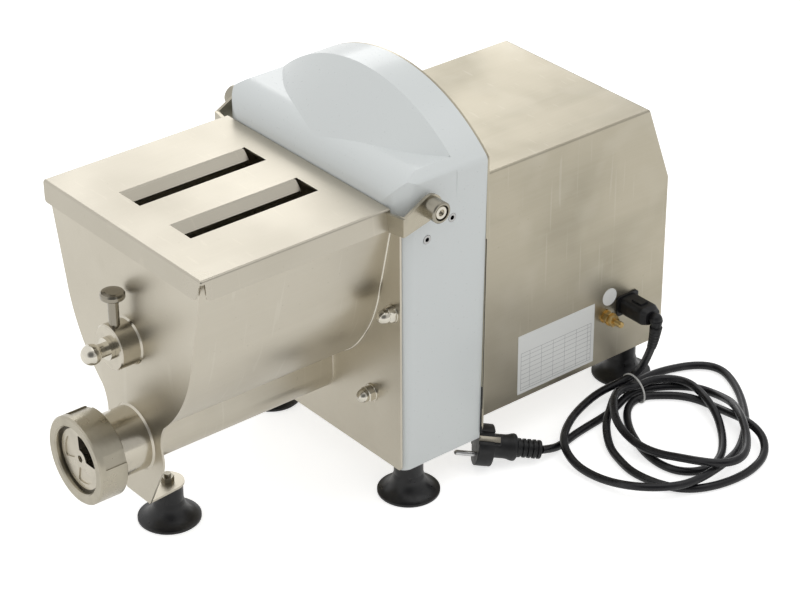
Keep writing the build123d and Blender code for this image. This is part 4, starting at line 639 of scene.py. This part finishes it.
def wire_tie():
    """A thin loop of wire drawn round the coil where the lead goes into it."""
    line = bpy.data.curves.new("tie_wire", "CURVE")
    line.dimensions = "3D"
    line.bevel_depth = TIE_WIRE
    line.bevel_resolution = 3
    line.resolution_u = 6
    spline = line.splines.new("NURBS")
    spline.points.add(len(TIE_LOOP) - 1)
    for control, (x, y, z) in zip(spline.points, TIE_LOOP):
        control.co = (x * MM, y * MM, z * MM + TIE_WIRE / 2, 1.0)
    spline.order_u = 3
    spline.use_cyclic_u = True
    tie = bpy.data.objects.new("tie_wire", line)
    bpy.context.scene.collection.objects.link(tie)
    return tie


tie_wire = wire_tie()
ride_slot(tie_wire, "pale_tie")
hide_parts("cord_tie")
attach(power_cord, "machine")
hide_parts("cord_lead", "cord_coil", "cord_tail")


# ============================== modelling by hand ==============================

def nothing_selected():
    """Back to object mode, with nothing selected."""
    if bpy.context.mode != "OBJECT":
        bpy.ops.object.mode_set(mode="OBJECT")
    bpy.ops.object.select_all(action="DESELECT")


def call_it(name):
    """Names the piece that was just added."""
    piece = bpy.context.active_object
    piece.name = name
    piece.data.name = name
    return piece


def settle(piece):
    """Puts a piece's place and turn into its mesh."""
    nothing_selected()
    piece.select_set(True)
    bpy.context.view_layer.objects.active = piece
    bpy.ops.object.transform_apply(location=True, rotation=True, scale=True)


def into_edit(piece):
    """Starts edit mode on one piece, with nothing in it selected."""
    nothing_selected()
    piece.select_set(True)
    bpy.context.view_layer.objects.active = piece
    bpy.ops.object.mode_set(mode="EDIT")
    bpy.ops.mesh.select_all(action="DESELECT")


def choose_faces(piece, rule):
    """In edit mode, selects the faces whose middle and normal the rule accepts."""
    bpy.ops.mesh.select_mode(type="FACE")
    bpy.ops.mesh.select_all(action="DESELECT")
    net = bmesh.from_edit_mesh(piece.data)
    for face in net.faces:
        if rule(face.calc_center_median(), face.normal):
            face.select_set(True)
    bmesh.update_edit_mesh(piece.data)


def close_up():
    """In edit mode, merges doubles and turns every face outwards."""
    bpy.ops.mesh.select_all(action="SELECT")
    bpy.ops.mesh.remove_doubles(threshold=0.000002)
    bpy.ops.mesh.normals_make_consistent(inside=False)


def smooth_over(piece, degrees):
    """Leaves edit mode and shades smooth, up to an angle."""
    nothing_selected()
    piece.select_set(True)
    bpy.context.view_layer.objects.active = piece
    bpy.ops.object.shade_smooth_by_angle(angle=radians(degrees))


def drawn_line(name, points):
    """A chain of edges drawn point by point, left selected in edit mode."""
    nothing_selected()
    bpy.ops.mesh.primitive_plane_add(size=MM, location=(0, 0, 0))
    piece = call_it(name)
    bpy.ops.object.mode_set(mode="EDIT")
    bpy.ops.mesh.select_mode(type="VERT")
    bpy.ops.mesh.select_all(action="SELECT")
    bpy.ops.mesh.merge(type="CENTER")
    bpy.ops.transform.translate(value=Vector(points[0]))
    for before, here in zip(points, points[1:]):
        bpy.ops.mesh.extrude_vertices_move(TRANSFORM_OT_translate={"value": Vector(here) - Vector(before)})
    bpy.ops.mesh.select_all(action="SELECT")
    return piece


TURN_STEPS = 40


def turned_piece(name, profile, place, axis):
    """A piece turned round an axis level with the floor, from radii and distances in millimetres."""
    ahead = Vector(axis)
    out = Vector((0, 0, 1))
    points = [Vector(place) + MM * (radius * out + distance * ahead) for radius, distance in profile]
    piece = drawn_line(name, points)
    bpy.ops.mesh.spin(steps=TURN_STEPS, angle=2 * pi, center=place, axis=axis)
    close_up()
    smooth_over(piece, degrees=32)
    return piece


def joined(name, pieces):
    """Several pieces made one."""
    nothing_selected()
    for piece in pieces:
        piece.select_set(True)
    bpy.context.view_layer.objects.active = pieces[0]
    bpy.ops.object.join()
    return call_it(name)


def copied(piece, name, shift):
    """A copy with its own mesh, moved, with the move in its mesh."""
    nothing_selected()
    piece.select_set(True)
    bpy.context.view_layer.objects.active = piece
    bpy.ops.object.duplicate(linked=False)
    other = call_it(name)
    other.location = shift
    settle(other)
    return other


# ============================== domed nuts ==============================

NUT_PLACES = ((106.0, 190.8), (77.0, 99.3), (-77.0, 99.3), (-106.0, 190.8))
WASHER_BACK = -38.0
WASHER_THICK = 1.6
HEX_FRONT = -45.6
HEX_CHAMFER = 0.9
HEX_CORNERS = 7.5
HEX_FACE_SHARE = 0.86
HEX_ROUNDING = 0.18
DOME = [(5.4, -0.4), (6.15, 0.0), (6.2, 1.4), (6.05, 2.7), (5.65, 4.1), (4.9, 5.6), (3.8, 6.9), (2.3, 7.9),
        (1.0, 8.4), (0.0, 8.55)]
WASHER = [(4.6, 0.0), (8.0, 0.0), (8.0, 1.2), (7.6, 1.6), (4.6, 1.6), (4.6, 0.0)]


def domed_nut(x, z):
    """A washer, a hexagon with chamfered corners and a polished dome, made at one of the four places."""
    dome = turned_piece("nut_dome", DOME, (x * MM, HEX_FRONT * MM, z * MM), (0, -1, 0))
    washer = turned_piece("nut_washer", WASHER, (x * MM, WASHER_BACK * MM, z * MM), (0, -1, 0))
    nothing_selected()
    hex_back = WASHER_BACK - WASHER_THICK
    depth = hex_back - HEX_FRONT - HEX_CHAMFER
    bpy.ops.mesh.primitive_cylinder_add(vertices=6, radius=HEX_CORNERS * MM, depth=depth * MM,
                                        location=(x * MM, (hex_back - depth / 2) * MM, z * MM),
                                        rotation=(pi / 2, 0, 0))
    body = call_it("nut_body")
    settle(body)
    into_edit(body)
    choose_faces(body, lambda middle, normal: normal.y < -0.9)
    bpy.ops.mesh.extrude_region_move(TRANSFORM_OT_translate={"value": (0, -HEX_CHAMFER * MM, 0)})
    bpy.ops.transform.resize(value=(HEX_FACE_SHARE, 1.0, HEX_FACE_SHARE),
                             center_override=(x * MM, HEX_FRONT * MM, z * MM))
    bpy.ops.mesh.select_all(action="SELECT")
    bpy.ops.mesh.bevel(offset=HEX_ROUNDING * MM, segments=2)
    smooth_over(body, degrees=20)
    return joined("domed_nut_1", [body, dome, washer])


first_nut = domed_nut(*NUT_PLACES[0])
domed_nuts = [first_nut]
for number, (nut_x, nut_z) in enumerate(NUT_PLACES[1:], start=2):
    shift = ((nut_x - NUT_PLACES[0][0]) * MM, 0, (nut_z - NUT_PLACES[0][1]) * MM)
    domed_nuts.append(copied(first_nut, "domed_nut_%d" % number, shift))
for nut in domed_nuts:
    ride_slot(nut, "polished_stainless")
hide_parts("acorn_nuts")


# ============================== weld bead and painted gap shade ======================

TUB_AXIS_Z = 190.0
AUGER_AXIS_Z = 96.0
TUB_RADIUS = 76.8
CHANNEL_RADIUS = 24.5
CHANNEL_TURN = radians(70)
BEAD_TOP = (104.5, 270.0)
CHEEK = (90.0, 208.0)
BOW_CENTRE = (-52.1, 233.5)
BOW_TURN = radians(29.7)
BOW_FOOT = (58.7, 140.9)
BEAD_Y = -38.6
BEAD_RADIUS = 1.25
BEAD_SIDES = 10
BOW_STEPS = 12
TUB_STEPS = 14
CHANNEL_STEPS = 10


def on_back_plate(side, point):
    """A point of the bead's path, on one side of the machine."""
    return Vector((side * point[0] * MM, BEAD_Y * MM, point[1] * MM))


def spin_on(side, steps, turn, centre):
    """Carries the bead's free end round a point of the back plate, downwards."""
    bpy.ops.mesh.spin(steps=steps, angle=-side * turn, center=on_back_plate(side, centre), axis=(0, 1, 0))


def weld_bead(side):
    """The bead between the tub and its back plate: down the wall, round its bow, the tub and the channel."""
    top, cheek = on_back_plate(side, BEAD_TOP), on_back_plate(side, CHEEK)
    nothing_selected()
    bpy.ops.mesh.primitive_circle_add(vertices=BEAD_SIDES, radius=BEAD_RADIUS * MM, fill_type="NGON",
                                      location=top)
    bead = call_it("weld_bead_%s" % ("right" if side > 0 else "left"))
    bead.rotation_mode = "QUATERNION"
    bead.rotation_quaternion = (cheek - top).to_track_quat("Z", "Y")
    settle(bead)
    into_edit(bead)
    bpy.ops.mesh.select_all(action="SELECT")
    bpy.ops.mesh.extrude_region_move(TRANSFORM_OT_translate={"value": cheek - top})
    spin_on(side, BOW_STEPS, BOW_TURN, BOW_CENTRE)
    start = Vector((BOW_FOOT[0], BOW_FOOT[1] - TUB_AXIS_Z))
    end = Vector((CHANNEL_RADIUS, -(TUB_RADIUS ** 2 - CHANNEL_RADIUS ** 2) ** 0.5))
    spin_on(side, TUB_STEPS, start.angle(end), (0, TUB_AXIS_Z))
    drop = AUGER_AXIS_Z - (TUB_AXIS_Z + end.y)
    bpy.ops.mesh.extrude_region_move(TRANSFORM_OT_translate={"value": (0, 0, drop * MM)})
    spin_on(side, CHANNEL_STEPS, CHANNEL_TURN, (0, AUGER_AXIS_Z))
    close_up()
    smooth_over(bead, degrees=50)
    return bead


for side in (1, -1):
    ride_slot(weld_bead(side), "polished_stainless")

GAP_SHADE_Y = (50.9, 52.0)
GAP_SHADE_LOW = (118.5, 41.0)
GAP_SHADE_HIGH = (121.6, 236.0)
GAP_SHADE_DEEP = 3.0
GAP_SHADE_TOP_SHARE = 0.25
GAP_SHADE_ROUNDING = 0.2


def edge_gap_shade(side):
    """A thin black strip in the gap between the hood's rear edge and the steel bulkhead, thinner towards its
    top: painted shade in that gap.
    """
    (low_x, low_z), (high_x, high_z) = GAP_SHADE_LOW, GAP_SHADE_HIGH
    place = (side * (low_x - GAP_SHADE_DEEP / 2) * MM, sum(GAP_SHADE_Y) / 2 * MM, low_z * MM)
    nothing_selected()
    bpy.ops.mesh.primitive_cube_add(size=MM, location=place)
    shade_strip = call_it("edge_seal_%s" % ("right" if side > 0 else "left"))
    shade_strip.scale = (GAP_SHADE_DEEP, GAP_SHADE_Y[1] - GAP_SHADE_Y[0], 1.0)
    settle(shade_strip)
    into_edit(shade_strip)
    choose_faces(shade_strip, lambda middle, normal: normal.z > 0.9)
    bpy.ops.mesh.extrude_region_move(
        TRANSFORM_OT_translate={"value": (side * (high_x - low_x) * MM, 0, (high_z - low_z) * MM)})
    bpy.ops.transform.resize(value=(1.0, GAP_SHADE_TOP_SHARE, 1.0))
    bpy.ops.mesh.select_all(action="SELECT")
    bpy.ops.mesh.bevel(offset=GAP_SHADE_ROUNDING * MM, segments=2)
    close_up()
    smooth_over(shade_strip, degrees=40)
    return shade_strip


# Painted shade: the black strips stand for the shade in the gap at the hood's rear edge.
for side in (1, -1):
    ride_slot(edge_gap_shade(side), "black_rubber")


# ============================== plug ==============================

PLUG_TAIL = (138.0, 104.0, 11.3)
PLUG_FACE = (106.0, 54.8, 21.8)
PLUG_TURN = radians(38)
FLANGE_FROM = 45.0
FLANGE_TO = 59.6
FLANGE_RADIUS = 19.0
NOTCH_FLOOR = 15.0
NOTCH_HALF = 6.0
FLANGE_ROUNDING = 0.8
HALF_FLANGE_STEPS = 20
RIB_GROOVES = 4
RIB_FIRST = 3.0
RIB_PITCH = 4.6
RIB_GROOVE = [(8.5, 0.0), (7.0, 0.4), (7.0, 1.7), (8.6, 2.1)]
GRIP_START = [(0.0, 0.0), (7.7, 0.0), (8.4, 0.7)]
GRIP_END = [(8.8, 22.0), (10.2, 22.5), (11.9, 23.7), (12.4, 25.4), (12.1, 27.6), (11.2, 30.4), (10.8, 33.0),
            (10.8, 41.5), (11.4, 44.2), (13.0, 46.6), (15.0, 48.4), (0.0, 48.4)]
RIDGE = {"start": 38.5, "end": 50.0, "low": 8.0, "high": 13.9, "half": 4.2, "rounding": 0.8}
STRIP = {"start": 40.0, "end": 59.3, "low": 13.4, "high": 15.7, "half": 2.5, "rounding": 0.35}


def onto_plug(piece):
    """Carries a piece drawn along +X from the origin to the plug's own place and turn."""
    tail, face = Vector(PLUG_TAIL) * MM, Vector(PLUG_FACE) * MM
    ahead = (face - tail).normalized()
    level = ahead.cross(Vector((0, 0, 1))).normalized()
    pins = level * cos(PLUG_TURN) + level.cross(ahead) * sin(PLUG_TURN)
    piece.rotation_mode = "QUATERNION"
    piece.rotation_quaternion = Matrix((ahead, pins.cross(ahead), pins)).transposed().to_quaternion()
    piece.location = tail
    settle(piece)


def plug_grip():
    """The handle of the plug: a ribbed end round the cord, a collar and a waist."""
    profile = list(GRIP_START)
    for groove in range(RIB_GROOVES):
        start = RIB_FIRST + RIB_PITCH * groove
        profile += [(radius, start + distance) for radius, distance in RIB_GROOVE]
    return turned_piece("plug_grip", profile + GRIP_END, (0, 0, 0), (1, 0, 0))


def plug_flange():
    """The round face of the plug, with a notch in either side of its edge."""
    edge = asin(NOTCH_HALF / FLANGE_RADIUS)
    half = [(NOTCH_FLOOR, -NOTCH_HALF), (NOTCH_FLOOR, NOTCH_HALF)]
    for step in range(HALF_FLANGE_STEPS + 1):
        angle = edge + (pi - 2 * edge) * step / HALF_FLANGE_STEPS
        half.append((FLANGE_RADIUS * cos(angle), FLANGE_RADIUS * sin(angle)))
    outline = half + [(-y, -z) for y, z in half]
    flange = drawn_line("plug_flange", [Vector((FLANGE_FROM, y, z)) * MM for y, z in outline + outline[:1]])
    bpy.ops.mesh.remove_doubles(threshold=0.000002)
    bpy.ops.mesh.select_all(action="SELECT")
    bpy.ops.mesh.edge_face_add()
    depth = (FLANGE_TO - FLANGE_FROM) * MM
    bpy.ops.mesh.extrude_region_move(TRANSFORM_OT_translate={"value": (depth, 0, 0)})
    bpy.ops.mesh.select_all(action="DESELECT")
    bpy.ops.mesh.select_mode(type="EDGE")
    bpy.ops.mesh.edges_select_sharp(sharpness=radians(40))
    bpy.ops.mesh.bevel(offset=FLANGE_ROUNDING * MM, segments=3)
    close_up()
    smooth_over(flange, degrees=35)
    return flange


def plug_block(name, start, end, low, high, half, rounding):
    """A small rounded block on the near side of the plug."""
    nothing_selected()
    bpy.ops.mesh.primitive_cube_add(size=MM, location=((start + end) / 2 * MM, (low + high) / 2 * MM, 0))
    block = call_it(name)
    block.scale = (end - start, high - low, 2 * half)
    settle(block)
    into_edit(block)
    bpy.ops.mesh.select_all(action="SELECT")
    bpy.ops.mesh.bevel(offset=rounding * MM, segments=2)
    close_up()
    smooth_over(block, degrees=35)
    return block


def near_and_far(name, block):
    """A block of the plug on its near side, and its copy on the far side."""
    near = plug_block(name, **block)
    return [near, copied(near, name + "_far", (0, -(block["low"] + block["high"]) * MM, 0))]


ridges = near_and_far("plug_ridge", RIDGE)
strips = near_and_far("plug_strip", STRIP)
moulded_plug = joined("moulded_plug", [plug_grip(), plug_flange(), *ridges])
earth_strips = joined("earth_strips", strips)
for piece, slot in ((moulded_plug, "black_plastic"), (earth_strips, "zinc_steel")):
    onto_plug(piece)
    ride_slot(piece, slot)
earth_strips.data.materials[0] = pin_steel
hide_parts("plug_body")
nothing_selected()
